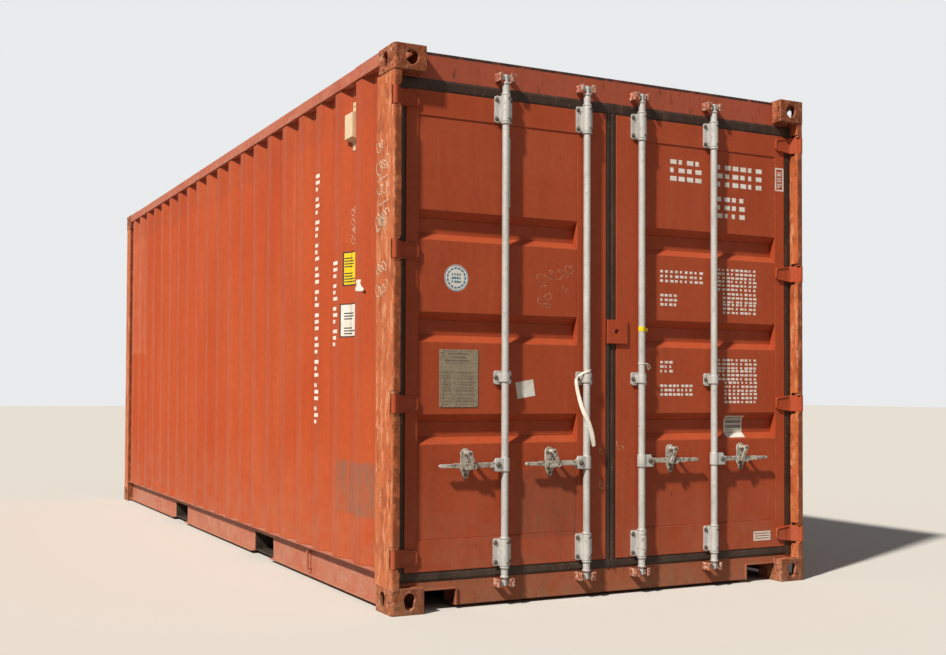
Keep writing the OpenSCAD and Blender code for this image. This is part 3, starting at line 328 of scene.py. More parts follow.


# %% [markdown]
# The body is weathering steel: plate and folded sheet with a little copper in it, sprayed with a matt
# chlorinated-rubber paint. After years at sea the paint chalks and fades unevenly, rust comes through at
# edges and scratches, and brown water runs down from it. The walls have bleached to an orange red. The doors
# are a deeper brown red, partly a browner paint and partly painted shade, as the lamp only grazes the door
# end. The header is pinker, with a near-black band along its top edge. That band is laid three times over,
# so that hardly any paint shows through it.

# %% Paint on weathering steel
ROAD_DUST = "#A98C72"
wall_coats = [(900, 1.4, 0.36, 0.66, 0.7, "#B55226"), (260, 9, 0.42, 0.7, 0.35, "#93381B"),
              (60, 22, 0.52, 0.76, 0.34, "#C06A44"), (46, 22, 0.54, 0.76, 0.34, "#8A4124"),
              (26, 2.5, 0.69, 0.72, 0.8, "#6A3520")]
# The first mark, a paler strip at the far end of the wall, is a painted highlight on the far corrugations.
# The second is a scuff. The third, a darker band under the top rail along the whole wall, is painted shade.
wall_marks_highlight_and_shade = [((-2856, -1230, 1370), (-2382, -1100, 2519), 60, 0.4, "#C27658"),
              ((2351, -1230, 445), (2684, -1100, 622), 50, 0.75, "#7A5A48"),
              ((-3029, -1230, 2380), (3029, -1100, 2520), 70, 0.25, "#7E3A22")]
wall_paint = weathered(
    "wall_chlorinated_rubber_paint", "#AB4318", wall_coats, wall_marks_highlight_and_shade, (0, -1, 0), edge=(0.5, "#5B3423"),
    splash=(0.75, 0.32, ROAD_DUST), wave_mm=1.6)
door_coats = [(700, 1.2, 0.36, 0.66, 0.8, "#AA4B2A"), (240, 7, 0.44, 0.7, 0.4, "#8A3516"),
              (60, 18, 0.54, 0.78, 0.22, "#B26443"), (40, 14, 0.56, 0.78, 0.3, "#7E3A20"),
              (26, 2.0, 0.68, 0.71, 0.85, "#572C1C")]
door_marks = [((2960, -529, 331), (3000, -216, 609), 30, 0.6, "#6E4230"),
              ((2960, -1060, 2105), (3000, -240, 2250), 60, 0.25, "#B0583A"),
              ((2960, 250, 350), (3000, 700, 600), 90, 0.2, "#8E3F24")]
# The doors are a deeper brown red than the walls: partly a browner paint, partly painted shade for the door
# end, which the lamp only grazes.
door_paint_and_shade = weathered(
    "door_chlorinated_rubber_paint", "#A64420", door_coats, door_marks, (1, 0, 0), edge=(0.45, "#6B3A28"),
    splash=(0.7, 0.3, ROAD_DUST), wave_mm=1.2)
# The header's top edge gets a near-black band, laid three times over.
header_paint = weathered(
    "header_chlorinated_rubber_paint", "#A8523A", [(400, 2, 0.36, 0.66, 0.7, "#A14A2E"),
    (90, 10, 0.5, 0.7, 0.5, "#8E4128"), (30, 4, 0.6, 0.66, 0.7, "#6A3421")],
    [((2800, -1300, 2578), (3040, 1300, 2600), 8, 1.0, "#2E1C16")] * 3, edge=(0.7, "#4A2C20"), wave_mm=1.0)
sill_paint = weathered(
    "sill_worn_paint", "#A45535", [(300, 1, 0.4, 0.62, 0.7, "#96502F"), (70, 3, 0.5, 0.66, 0.5, "#8A5A42"),
    (24, 1.5, 0.58, 0.64, 0.7, "#6B3B27")], edge=(0.8, "#7A5240"), splash=(0.22, 0.55, "#9B7B62"),
    wave_mm=0.8)
print("paints:", [m.name for m in (wall_paint, door_paint_and_shade, header_paint, sill_paint)])

# %% [markdown]
# Posts, rails and castings take the knocks. Their paint is down to an orange primer with pale scratches,
# and brown rust stands in every nick. The castings were cast, not rolled, so their skin is coarser. Below
# the floor the beams are coated with a thick dark wax against road salt.

# %% Worn frame steel
post_coats = [(260, 3, 0.38, 0.62, 0.75, "#B4592A"), (80, 3, 0.44, 0.6, 0.7, "#BE6C3E"),
              (30, 4.5, 0.53, 0.6, 0.8, "#D48E66"), (44, 3.0, 0.53, 0.6, 0.85, "#9A4A24"),
              (16, 1.6, 0.59, 0.64, 0.9, "#5E301D")]
# The posts' faces toward the door end are painted a darker brown: partly rust, partly painted shade.
post_paint = weathered(
    "post_worn_paint", "#B55F38", post_coats, edge=(0.9, "#6A3A24"), front_shade_and_highlight=(0.95, "#763A1C"),
    splash=(0.5, 0.35, "#C08A66"), wave_mm=0.5, grain_mm=0.3, grain_size_mm=7)
rail_paint = weathered(
    "rail_worn_paint", "#AE5A40", [(400, 0.5, 0.38, 0.62, 0.7, "#B4694E"),
    (80, 0.4, 0.5, 0.66, 0.5, "#C08970"), (60, 5, 0.52, 0.68, 0.5, "#8C4630"),
    (16, 1, 0.62, 0.67, 0.8, "#6A3826")], edge=(0.8, "#6B4332"), settled=(0.6, "#9A6A52"),
    splash=(0.35, 0.5, "#B4937A"), wave_mm=0.6)
casting_coats = [(120, 1, 0.42, 0.56, 0.9, "#AE5F2E"), (60, 1, 0.5, 0.57, 0.85, "#B26E58"),
                 (40, 1, 0.54, 0.6, 0.8, "#C48866"), (34, 1.5, 0.5, 0.56, 0.9, "#74391F"),
                 (16, 1, 0.55, 0.6, 0.95, "#3E2319")]
# The castings' faces toward the door end are painted darker, as painted shade.
casting_paint = weathered(
    "casting_worn_paint", "#9E5634", casting_coats, edge=(0.9, "#B98467"), front_shade_and_highlight=(0.7, "#763C22"),
    splash=(0.14, 0.35, "#B09070"), wave_mm=0.8, grain_mm=0.9, grain_size_mm=9, rough=0.76)
keeper_coats = [(30, 1, 0.42, 0.56, 0.85, "#9A5438"), (16, 1, 0.52, 0.58, 0.8, "#DCC8B6"),
                (12, 1, 0.52, 0.58, 0.9, "#6A3A27")]
keeper_paint = weathered(
    "keeper_worn_primer", "#B45E42", keeper_coats, edge=(0.95, "#E0CDBB"), wave_mm=0.3, rough=0.7)
under_wax = weathered(
    "underside_bitumen_wax", "#2B2622", [(150, 1, 0.4, 0.6, 0.6, "#3A332D"),
    (60, 1, 0.58, 0.66, 0.7, "#5A3422")], edge=(0.5, "#5B3423"), splash=(0.5, 0.3, "#6B5A4A"), wave_mm=0.8,
    rough=0.55)
print("worn steel:", [m.name for m in (post_paint, rail_paint, casting_paint, keeper_paint, under_wax)])

# %% [markdown]
# The lock gear is hot-dip galvanised steel. Hung in molten zinc, it comes out with a mosaic of crystals,
# the spangle, which outdoors turns to a dull, pale oxide. The zinc wears off where parts rub, and there it
# rusts. Cells of a Voronoi pattern give the spangle, about 12 mm across, and the shader is only part
# metallic, because the oxide on top is not. The handles are touched most, so they are browner.

# %% Zinc, rubber, wood, plastic and aluminium
# Faces of the zinc parts toward the door end are painted paler, a painted highlight.
zinc = weathered(
    "hot_dip_galvanised_steel", "#B4B1AB", [(110, 2, 0.36, 0.66, 0.8, "#C6C3BD"),
    (40, 3, 0.5, 0.66, 0.6, "#9C9891"), (18, 1, 0.63, 0.68, 0.8, "#83573E")], edge=(0.35, "#8E8A84"),
    front_shade_and_highlight=(0.3, "#D2D0CB"), spangle_mm=12, grain_mm=0.15, rough=0.5, metallic=0.2)
worn_zinc = weathered(
    "worn_galvanised_steel", "#B3AB9E", [(60, 1, 0.38, 0.6, 0.85, "#CFCAC0"),
    (30, 1, 0.47, 0.58, 0.8, "#8A7A66"), (18, 1, 0.54, 0.6, 0.9, "#5E4636")], edge=(0.6, "#E2DCD0"),
    spangle_mm=12, grain_mm=0.25, rough=0.58, metallic=0.15)
dark_bolt = weathered(
    "rusted_bolt_steel", "#5B534C", [(12, 1, 0.4, 0.6, 0.8, "#77695B"), (8, 1, 0.54, 0.62, 0.8, "#4A2E20")],
    rough=0.6, metallic=0.3)
seal = weathered(
    "epdm_door_seal", "#2C1C14", [(140, 1, 0.4, 0.65, 0.7, "#3C281C"), (40, 6, 0.5, 0.66, 0.6, "#553A2A"),
    (24, 1, 0.6, 0.68, 0.6, "#6B5240")], settled=(0.8, "#6E5F50"), splash=(0.4, 0.5, "#6A5F53"),
    grain_mm=0.3, rough=0.7)
plywood = weathered(
    "phenolic_faced_plywood", "#7A5637", [(140, 1, 0.4, 0.66, 0.8, "#94704A"),
    (60, 1, 0.6, 0.7, 0.6, "#4A3424")], settled=(0.3, "#8C7A66"), grain_mm=0.3, rough=0.6,
    along=(0.12, 1, 1))
cream = weathered(
    "abs_ventilator_hood", "#D9BE98", [(70, 1, 0.4, 0.66, 0.7, "#E4CDAB"),
    (30, 4, 0.54, 0.68, 0.5, "#C49A78"), (20, 2, 0.64, 0.69, 0.7, "#9A6A48")], grain_mm=0.1, rough=0.5)
aluminium = weathered(
    "anodised_aluminium_plate", "#8A7D68", [(55, 1, 0.4, 0.64, 0.8, "#A09079"),
    (30, 3, 0.52, 0.68, 0.5, "#6A5D4B"), (16, 1, 0.64, 0.69, 0.6, "#5A4433")], edge=(0.5, "#B3A78F"),
    grain_mm=0.1, rough=0.52, metallic=0.3)
print("finishes:", [m.name for m in (zinc, worn_zinc, dark_bolt, seal, plywood, cream, aluminium)])

# %% [markdown]
# Small pieces are made as meshes and not as CAD. One helper turns a profile round an axis, as a lathe does,
# one sweeps a round or flat tube along a path, and both join their rings of points with a skin. Another
# lays a thin sheet on a flat face. Each gives closed solids.

# %% Helpers for small pieces
def skin(mesh, rings, closed=False):
    pairs = list(zip(rings, rings[1:])) + ([(rings[-1], rings[0])] if closed else [])
    for low, high in pairs:
        for i in range(len(low)):
            j = (i + 1) % len(low)
            mesh.faces.new((low[i], low[j], high[j], high[i]))
    if not closed:
        mesh.faces.new(list(reversed(rings[0])))
        mesh.faces.new(rings[-1])


def turned(mesh, profile, place, out, segments=12, closed=False, turn=0.0):
    out = Vector(out).normalized()
    side = out.orthogonal().normalized()
    other = out.cross(side)
    rings = []
    for radius, height in profile:
        ring = []
        for step in range(segments):
            angle = turn + 2 * math.pi * step / segments
            around = side * math.cos(angle) + other * math.sin(angle)
            ring.append(mesh.verts.new((Vector(place) + out * height + around * radius) * MM))
        rings.append(ring)
    skin(mesh, rings, closed)


def tube(mesh, points, radii, segments=8, press=1.0, lift=(1, 0, 0)):
    points = [Vector(p) for p in points]
    lift = Vector(lift)
    rings = []
    for i, point in enumerate(points):
        along = (points[min(i + 1, len(points) - 1)] - points[max(i - 1, 0)]).normalized()
        wide = along.cross(lift).normalized()
        high = wide.cross(along).normalized()
        radius = radii[i] if isinstance(radii, (list, tuple)) else radii
        ring = []
        for step in range(segments):
            angle = 2 * math.pi * step / segments
            offset = wide * math.cos(angle) * radius + high * math.sin(angle) * radius * press
            ring.append(mesh.verts.new((point + offset) * MM))
        rings.append(ring)
    skin(mesh, rings)


def thin_sheet(mesh, outline, out, thick):
    out = Vector(out)
    low = [mesh.verts.new(Vector(p) * MM) for p in outline]
    high = [mesh.verts.new((Vector(p) + out * thick) * MM) for p in outline]
    mesh.faces.new(list(reversed(low)))
    mesh.faces.new(high)
    for i in range(len(low)):
        j = (i + 1) % len(low)
        mesh.faces.new((low[i], low[j], high[j], high[i]))


def panel(mesh, x, y_low, y_high, z_low, z_high, thick):
    thin_sheet(mesh, [(x, y_low, z_low), (x, y_high, z_low), (x, y_high, z_high), (x, y_low, z_high)],
               (1, 0, 0), thick)


def finish_piece(name, mesh, material, body, soften=35):
    bmesh.ops.recalc_face_normals(mesh, faces=mesh.faces)
    data = bpy.data.meshes.new(name)
    mesh.to_mesh(data)
    mesh.free()
    data.shade_smooth()
    data.set_sharp_from_angle(angle=math.radians(soften))
    data.materials.append(material)
    made = bpy.data.objects.new(name, data)
    scene.collection.objects.link(made)
    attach(made, body)
    print(name, "has", len(data.polygons), "faces and rides on", body)
    return made


def sheet_piece(name, outline, material, body, out=(1, 0, 0), thick=0.3):
    mesh = bmesh.new()
    thin_sheet(mesh, outline, out, thick)
    finish_piece(name, mesh, material, body)


# %% [markdown]
# Each bar bearing is held by four bolts, each guide by two, and each handle retainer by one below its seat.
# They are plain hexagon heads on round washers, painted over once and rusty since. A head is a lathe
# profile with six sides on a washer with sixteen. A small screw stands on the front of each saddle, near
# its right edge.

# %% Bolts of the lock gear
BAR_X = 3002.0
BAR_Y = {1: -625.0, 2: -165.0, 3: 165.0, 4: 625.0}
DOOR_OF_BAR = {1: "door_left", 2: "door_left", 3: "door_right", 4: "door_right"}
HANDLE_SIDE = {1: -1, 2: -1, 3: 1, 4: 1}
BEARING_FACE_X = 2979.0
GUIDE_FACE_X = 2979.0
RETAINER_FACE_X = 2977.0
BEARING_Z = (250.0, 2355.0)
GUIDE_Z = 1076.0
RETAINER_IN = 197.0
RETAINER_BOLT_Z = 620
BOLT_Y = 37
BOLT_Z = 46
SCREW_Z = 48
SADDLE_R = 21.3
SCREW_TURN = math.radians(14)
SCREW_OUT = Vector((math.cos(SCREW_TURN), math.sin(SCREW_TURN), 0))


def hexagon_bolt(mesh, place, out, across=16.0, tall=6.5):
    washer = across * 0.68
    turned(mesh, [(washer, 0), (washer, 1.6), (washer - 0.8, 2.2)], place, out, 16)
    reach = across / math.sqrt(3)
    turned(mesh, [(reach, 1.8), (reach, tall - 1.0), (reach * 0.84, tall)], place, out, 6,
           turn=random.uniform(0, 1))


random.seed(7)
for door in ("door_left", "door_right"):
    bolts = bmesh.new()
    for bar, y in BAR_Y.items():
        if DOOR_OF_BAR[bar] != door:
            continue
        for z in BEARING_Z:
            for dy in (-BOLT_Y, BOLT_Y):
                for dz in (-BOLT_Z, BOLT_Z):
                    hexagon_bolt(bolts, (BEARING_FACE_X, y + dy, z + dz), (1, 0, 0))
        for dy in (-BOLT_Y, BOLT_Y):
            hexagon_bolt(bolts, (GUIDE_FACE_X, y + dy, GUIDE_Z), (1, 0, 0))
        for z in BEARING_Z:
            for dz in (-SCREW_Z, SCREW_Z):
                hexagon_bolt(bolts, Vector((BAR_X, y, z + dz)) + SCREW_OUT * SADDLE_R, SCREW_OUT,
                             across=9, tall=4)
        hexagon_bolt(bolts, (RETAINER_FACE_X, y + HANDLE_SIDE[bar] * RETAINER_IN, RETAINER_BOLT_Z),
                     (1, 0, 0), across=13, tall=5)
    finish_piece("bolts_" + door, bolts, dark_bolt, door)

# %% [markdown]
# The rivet that carries each handle ends in a domed head on the hub, and a washer with a bent pin keeps
# each catch on its boss. Both are lathe profiles, and each rides with the part that carries it.

# %% Rivet heads and catch pins
HUB_FACE_X = 3019.0
HUB_PIVOT = 42.0
HANDLE_Z = 665.0
CATCH_FACE_X = 3026.0
CATCH_Z = 722.0
for bar, y in BAR_Y.items():
    head = bmesh.new()
    turned(head, [(13.0, 0), (13.0, 2.0), (11.5, 5.0), (7.5, 7.2), (2.5, 8.2)],
           (HUB_FACE_X, y + HANDLE_SIDE[bar] * HUB_PIVOT, HANDLE_Z), (1, 0, 0), 20)
    finish_piece(f"rivet_head_{bar}", head, dark_bolt, f"lock_bar_{bar}")
    pin = bmesh.new()
    place = (CATCH_FACE_X, y + HANDLE_SIDE[bar] * RETAINER_IN, CATCH_Z)
    turned(pin, [(7.0, 0), (7.0, 1.4), (4.6, 1.6), (4.6, 2.4), (3.2, 3.0)], place, (1, 0, 0), 14)
    finish_piece(f"catch_pin_{bar}", pin, dark_bolt, DOOR_OF_BAR[bar])

# %% [markdown]
# The frame is welded. A bead is a small caterpillar of metal in the corner between two parts: a swept tube
# that is half sunk, whose radius swells and shrinks every few millimetres where the welder paused.

# %% Weld beads
HALF_L = 3029.0
HALF_W = 1219.0
HEIGHT = 2591.0
FITTING_TALL = 118.0
BEAD_Y = (1075, 1205)
BEAD_X = (2870, 3015)


def weld(mesh, start, end, lift, radius=4.0, pause=9.0):
    start, end = Vector(start), Vector(end)
    length = (end - start).length
    steps = max(3, int(length / (pause / 2)))
    points, radii = [], []
    for i in range(steps + 1):
        share = i / steps
        points.append(start.lerp(end, share))
        radii.append(radius * (0.88 + 0.16 * (i % 2) + random.uniform(-0.08, 0.08)))
    tube(mesh, points, radii, 6, 0.8, lift)


beads = bmesh.new()
for sx in (-1, 1):
    for sy in (-1, 1):
        for z in (FITTING_TALL, HEIGHT - FITTING_TALL):
            x_face, y_face = sx * (HALF_L - 5), sy * (HALF_W - 5)
            weld(beads, (x_face, sy * BEAD_Y[0], z), (x_face, sy * BEAD_Y[1], z), (1, 0, 0))
            weld(beads, (sx * BEAD_X[0], y_face, z), (sx * BEAD_X[1], y_face, z), (0, 1, 0))
finish_piece("weld_beads_fittings", beads, post_paint, "frame", soften=60)

# %% [markdown]
# Years of handling leave their marks. Rows of short plain dashes are rolled on with white alkyd paint
# through a stencil. The dashes are slabs a fraction of a millimetre thick, and the paint on them is worn
# through in places down to the colour below.

# %% Paper, tape and stencil paint
def worn_print(name, base, under, patch_mm, worn=0.3, rough=0.6, dirt="#8B7B69"):
    coats = [(patch_mm, 1, 0.38, 0.66, 0.7, dirt), (38, 1, 0.74 - worn * 0.4, 0.79 - worn * 0.4, 1.0, under)]
    return weathered(name, base, coats, grain_mm=0.05, grain_size_mm=8, rough=rough)


stencil_on_door = worn_print("alkyd_stencil_paint_door", "#F6F1E9", "#A0421E", 60, worn=0.15, dirt="#D2C6B6")
stencil_on_wall = worn_print("alkyd_stencil_paint_wall", "#F0E6DA", "#B44A22", 60, worn=0.28, dirt="#CDB49C")
chalk = worn_print("chalk_line", "#E8A483", "#B45A38", 25, worn=0.4, rough=0.9, dirt="#C77B56")
paper = worn_print("paper_label", "#E6E1D6", "#C4BAA8", 80, worn=0.15, dirt="#C9C0B0")
yellow_vinyl = worn_print("yellow_vinyl_label", "#EBC920", "#B99A24", 60, worn=0.1, dirt="#DDB91F")
black_vinyl = worn_print("black_vinyl_label", "#2A2624", "#4A423C", 40, worn=0.1, dirt="#3A3430")
blue_vinyl = worn_print("blue_vinyl_label", "#2F6F96", "#5C8BA6", 40, worn=0.1, dirt="#3B7898")
grey_print = worn_print("grey_print", "#8F8B84", "#A8A39A", 40, worn=0.1, dirt="#7F7A72")
webbing = worn_print("polyester_strap", "#F4EBDC", "#D2BFA0", 50, worn=0.12, dirt="#E2D4BA")
print("prints and labels:", [m.name for m in (stencil_on_door, stencil_on_wall, chalk, paper, yellow_vinyl,
                                              black_vinyl, blue_vinyl, grey_print, webbing)])

# %% [markdown]
# A mark is a row of cells, and a cell is three short dashes one above the other, each of its own length. On
# the right door the rows lie side by side, and on the long wall the cells stand one under another on two
# flats of the corrugation, as they do on such containers.

# %% Dash marks
DOOR_SHEET_X = 2968.0
DOOR_FRAME_X = 2971.0
WALL_OUT_Y = -1210.0
MARK_THICK = 0.4
DOOR_WAYS = ((0, 1, 0), (0, 0, 1), (1, 0, 0))
WALL_WAYS = ((1, 0, 0), (0, 0, 1), (0, -1, 0))


def dash_cell(mesh, corner, across, upward, out, wide, tall):
    thick = tall / 4.6
    for i in range(3):
        length = wide * random.choice((0.55, 0.75, 1.0, 1.0))
        start = Vector(corner) + Vector(upward) * (i * (tall - thick) / 2)
        ends = [(0, 0), (length, 0), (length, thick), (0, thick)]
        outline = [start + Vector(across) * (u + random.uniform(-0.8, 0.8)) +
                   Vector(upward) * (v + random.uniform(-0.5, 0.5)) for u, v in ends]
        thin_sheet(mesh, outline, out, MARK_THICK)


door_rows = [(368, 585, 2103, 2214, 4), (673, 991, 2098, 2212, 6), (673, 874, 1931, 2043, 4),
             (305, 588, 1575, 1637, 9), (305, 419, 1454, 1514, 4), (305, 391, 1111, 1170, 3),
             (305, 519, 992, 1049, 8)]
for indent, y_high, lows in ((35, 948, (1609, 1548, 1482, 1425)), (45, 950, (1132, 1074, 1013, 953))):
    door_rows += [(677 + indent * (i // 2), y_high, z, z + 54, 9 - i // 2) for i, z in enumerate(lows)]
door_dashes = bmesh.new()
for y_low, y_high, z_low, z_high, count in door_rows:
    pitch = (y_high - y_low) / count
    for i in range(count):
        dash_cell(door_dashes, (DOOR_SHEET_X, y_low + i * pitch, z_low), *DOOR_WAYS,
                  pitch * 0.74, z_high - z_low)
BOX_MARK = (1070, 1129, 2104, 2230)
line_wide = 8.0
y0, y1, z0, z1 = BOX_MARK
for a, b, c, d in ((y0, y1, z0, z0 + line_wide), (y0, y1, z1 - line_wide, z1),
                   (y0, y0 + line_wide, z0 + line_wide, z1 - line_wide),
                   (y1 - line_wide, y1, z0 + line_wide, z1 - line_wide)):
    panel(door_dashes, DOOR_FRAME_X, a, b, c, d, MARK_THICK)
for i in range(3):
    dash_cell(door_dashes, (DOOR_FRAME_X, 1085, 2122 + 32 * i), *DOOR_WAYS, 30, 22)
finish_piece("dash_marks_door", door_dashes, stencil_on_door, "door_right")

wall_dashes = bmesh.new()
for x_left, z_low, z_high, count in ((1988, 836, 2190, 11), (2256, 1236, 1698, 4)):
    pitch = (z_high - z_low) / count
    for i in range(count):
        dash_cell(wall_dashes, (x_left, WALL_OUT_Y, z_low + i * pitch), *WALL_WAYS, 58, pitch * 0.72)
finish_piece("dash_marks_wall", wall_dashes, stencil_on_wall, "frame")

# %% [markdown]
# Labels and stickers are paper or vinyl, so thin that only their edges show. Each is a sheet of its own
# outline, and where it has a printed field or a ring, that is a second sheet a tenth of a millimetre above
# the first.

# %% Stickers on the doors
STICKER_THICK = 0.3
PRINT_THICK = 0.1
ROUND_LABEL_Y = -869
ROUND_LABEL_Z = 1540


def disc(mesh, x, y, z, radius, thick, inner=0.0, steps=48):
    ring = [(math.cos(2 * math.pi * i / steps), math.sin(2 * math.pi * i / steps)) for i in range(steps)]
    if not inner:
        thin_sheet(mesh, [(x, y + c * radius, z + s * radius) for c, s in ring], (1, 0, 0), thick)
        return
    corners = []
    for height, size in ((0, inner), (0, radius), (thick, radius), (thick, inner)):
        corners.append([mesh.verts.new(Vector((x + height, y + c * size, z + s * size)) * MM)
                        for c, s in ring])
    skin(mesh, corners, closed=True)


def tilted_rectangle(x, y_mid, z_mid, wide, tall, turn_degrees):
    c = math.cos(math.radians(turn_degrees))
    s = math.sin(math.radians(turn_degrees))
    corners = [(-wide / 2, -tall / 2), (wide / 2, -tall / 2), (wide / 2, tall / 2), (-wide / 2, tall / 2)]
    return [(x, y_mid + u * c - v * s, z_mid + u * s + v * c) for u, v in corners]


round_label = bmesh.new()
disc(round_label, DOOR_SHEET_X, ROUND_LABEL_Y, ROUND_LABEL_Z, 63, STICKER_THICK)
finish_piece("round_label", round_label, paper, "door_left")
round_print = bmesh.new()
LABEL_MIDDLE = Vector((DOOR_SHEET_X + STICKER_THICK, ROUND_LABEL_Y, ROUND_LABEL_Z))
disc(round_print, *LABEL_MIDDLE, 61, PRINT_THICK, inner=58)
for i in range(15):
    angle = 2 * math.pi * i / 15
    around = Vector((0, math.cos(angle), math.sin(angle)))
    across = Vector((0, -math.sin(angle), math.cos(angle)))
    middle = LABEL_MIDDLE + around * 46
    ends = [(-7, -4), (7, -4), (7, 4), (-7, 4)]
    thin_sheet(round_print, [middle + across * u + around * v for u, v in ends], (1, 0, 0), PRINT_THICK)
for i in range(4):
    dash_cell(round_print, LABEL_MIDDLE + Vector((0, -24 + 13 * i, -22)), *DOOR_WAYS, 10, 44)
finish_piece("round_label_print", round_print, blue_vinyl, "door_left")

square_outline = tilted_rectangle(DOOR_SHEET_X, -494, 1022, 100, 80, 9)
sheet_piece("square_label", square_outline, paper, "door_left", thick=STICKER_THICK)
small_outline = tilted_rectangle(DOOR_FRAME_X, 973, 244, 116, 50, 0)
sheet_piece("small_label", small_outline, paper, "door_right", thick=STICKER_THICK)
small_print = bmesh.new()
for z in (231, 244, 257):
    panel(small_print, DOOR_FRAME_X + STICKER_THICK, 924, 1022, z - 2.5, z + 2.5, PRINT_THICK)
red_print = worn_print("red_print", "#B0402C", "#C9806E", 30)
finish_piece("small_label_print", small_print, red_print, "door_right")

# %% [markdown]
# The data plate is a sheet of anodised aluminium on six blind rivets. Its rim is raised, and ruled lines
# divide it into fields, with rows of plain dashes pressed into them. Lines and dashes are shallow ribs of
# their own.

# %% Data plate
PLATE_FACE_X = 2970.0
PLATE_Y = (-956.0, -752.0)
PLATE_Z = (935.0, 1205.0)
FIELD_THICK = 0.3
y0, y1 = PLATE_Y
z0, z1 = PLATE_Z
rim = bmesh.new()
rules = [(y0 + 2, y1 - 2, z0 + 2, z0 + 7), (y0 + 2, y1 - 2, z1 - 7, z1 - 2),
         (y0 + 2, y0 + 7, z0 + 7, z1 - 7), (y1 - 7, y1 - 2, z0 + 7, z1 - 7)]
rules += [(y0 + 12, y1 - 12, z, z + 1.6) for z in (990, 1018, 1046, 1074, 1102, 1142)]
rules += [(-880, -878.4, 993, 1100), (-820, -818.4, 948, 986)]
for a, b, c, d in rules:
    panel(rim, PLATE_FACE_X, a, b, c, d, 0.8)
for y in (y0 + 12, (y0 + y1) / 2, y1 - 12):
    for z in (z0 + 12, z1 - 12):
        turned(rim, [(5.0, 0), (5.0, 0.8), (3.6, 2.2), (1.2, 2.8)], (PLATE_FACE_X, y, z), (1, 0, 0), 14)
plate_rim = weathered(
    "bright_worn_aluminium", "#A3967F", [(40, 1, 0.4, 0.64, 0.8, "#8E8169"),
    (16, 1, 0.6, 0.66, 0.6, "#5F4A38")], grain_mm=0.1, rough=0.45, metallic=0.4)
finish_piece("data_plate_rim", rim, plate_rim, "door_left")
fields = bmesh.new()
for row in range(11):
    z = 948 + 13.8 * row if row < 3 else 954 + 14 * row
    for start, stop in ((-940, -890), (-866, -772)):
        at = start
        while at < stop - 8:
            long = random.choice((6, 9, 13))
            panel(fields, PLATE_FACE_X, at, min(at + long, stop), z, z + 3.6, FIELD_THICK)
            at += long + 4
for y_low, y_high, z in ((-912, -796, 1182), (-900, -808, 1166), (-924, -784, 1150)):
    for i in range(int((y_high - y_low) / 12)):
        y = y_low + 12 * i
        panel(fields, PLATE_FACE_X, y, y + 8, z, z + 6, FIELD_THICK)
pressed_field = worn_print("pressed_dark_field", "#4E4438", "#6B5E4C", 30)
finish_piece("data_plate_fields", fields, pressed_field, "door_left")

# %% [markdown]
# One label was stuck over a pressed band of the right door, and it follows the fold: down the upper slope,
# over the floor of the band and up the lower slope. The section is written once as points, and the sheet is
# swept along them.

# %% Label in the band
BAND_SECTION = [(2968.0, 902.0), (2932.0, 868.0), (2932.0, 798.0), (2968.0, 764.0)]


def folded_sheet(mesh, path, span, shift):
    low = [Vector(p) for p in path]
    rows = [[mesh.verts.new((p + side + lift) * MM) for p in low]
            for lift in (Vector((0, 0, 0)), Vector(shift)) for side in (Vector((0, 0, 0)), Vector(span))]
    a0, a1, b0, b1 = rows
    last = len(low) - 1
    for i in range(last):
        mesh.faces.new((a0[i], a1[i], a1[i + 1], a0[i + 1]))
        mesh.faces.new((b0[i], b0[i + 1], b1[i + 1], b1[i]))
        mesh.faces.new((a0[i], a0[i + 1], b0[i + 1], b0[i]))
        mesh.faces.new((a1[i], b1[i], b1[i + 1], a1[i + 1]))
    mesh.faces.new((a0[0], b0[0], b1[0], a1[0]))
    mesh.faces.new((a0[last], a1[last], b1[last], b0[last]))


def depth_at(section, value):
    for (depth_a, at_a), (depth_b, at_b) in zip(section, section[1:]):
        if min(at_a, at_b) <= value <= max(at_a, at_b):
            return depth_a + (depth_b - depth_a) * (value - at_a) / (at_b - at_a)
    return section[0][0]


def between(section, start, stop):
    inside = [at for depth, at in section if min(start, stop) < at < max(start, stop)]
    inside.sort(reverse=start > stop)
    return [(depth_at(section, at), at) for at in [start, *inside, stop]]


band_label = bmesh.new()
path = [(x, 745, z) for x, z in between(BAND_SECTION, 886, 772)]
folded_sheet(band_label, path, (0, 123, 0), (0.35, 0, 0))
finish_piece("band_label", band_label, paper, "door_right")
band_print = bmesh.new()
for z_top, z_low in ((880, 873), (862, 846), (838, 820), (812, 808)):
    path = [(x + 0.35, 755, z) for x, z in between(BAND_SECTION, z_top, z_low)]
    folded_sheet(band_print, path, (0, 103, 0), (0.1, 0, 0))
finish_piece("band_label_print", band_print, grey_print, "door_right")

# %% [markdown]
# On the long wall the labels lie in the last valley of the corrugation, and the yellow one laps up its
# slope. The black border is the lower sheet and the coloured field the upper one, a little smaller.

# %% Wall labels
VALLEY_Y = -1174.0
WALL_SECTION = [(WALL_OUT_Y, 2344.0), (VALLEY_Y, 2412.0), (VALLEY_Y, 2482.0), (WALL_OUT_Y, 2550.0)]


def wall_sheet(name, material, x_low, x_high, z_low, z_high, lift, thick=0.25):
    mesh = bmesh.new()
    path = [(x, y - lift, z_low) for y, x in between(WALL_SECTION, x_low, x_high)]
    folded_sheet(mesh, path, (0, 0, z_high - z_low), (0, -thick, 0))
    return finish_piece(name, mesh, material, "frame")


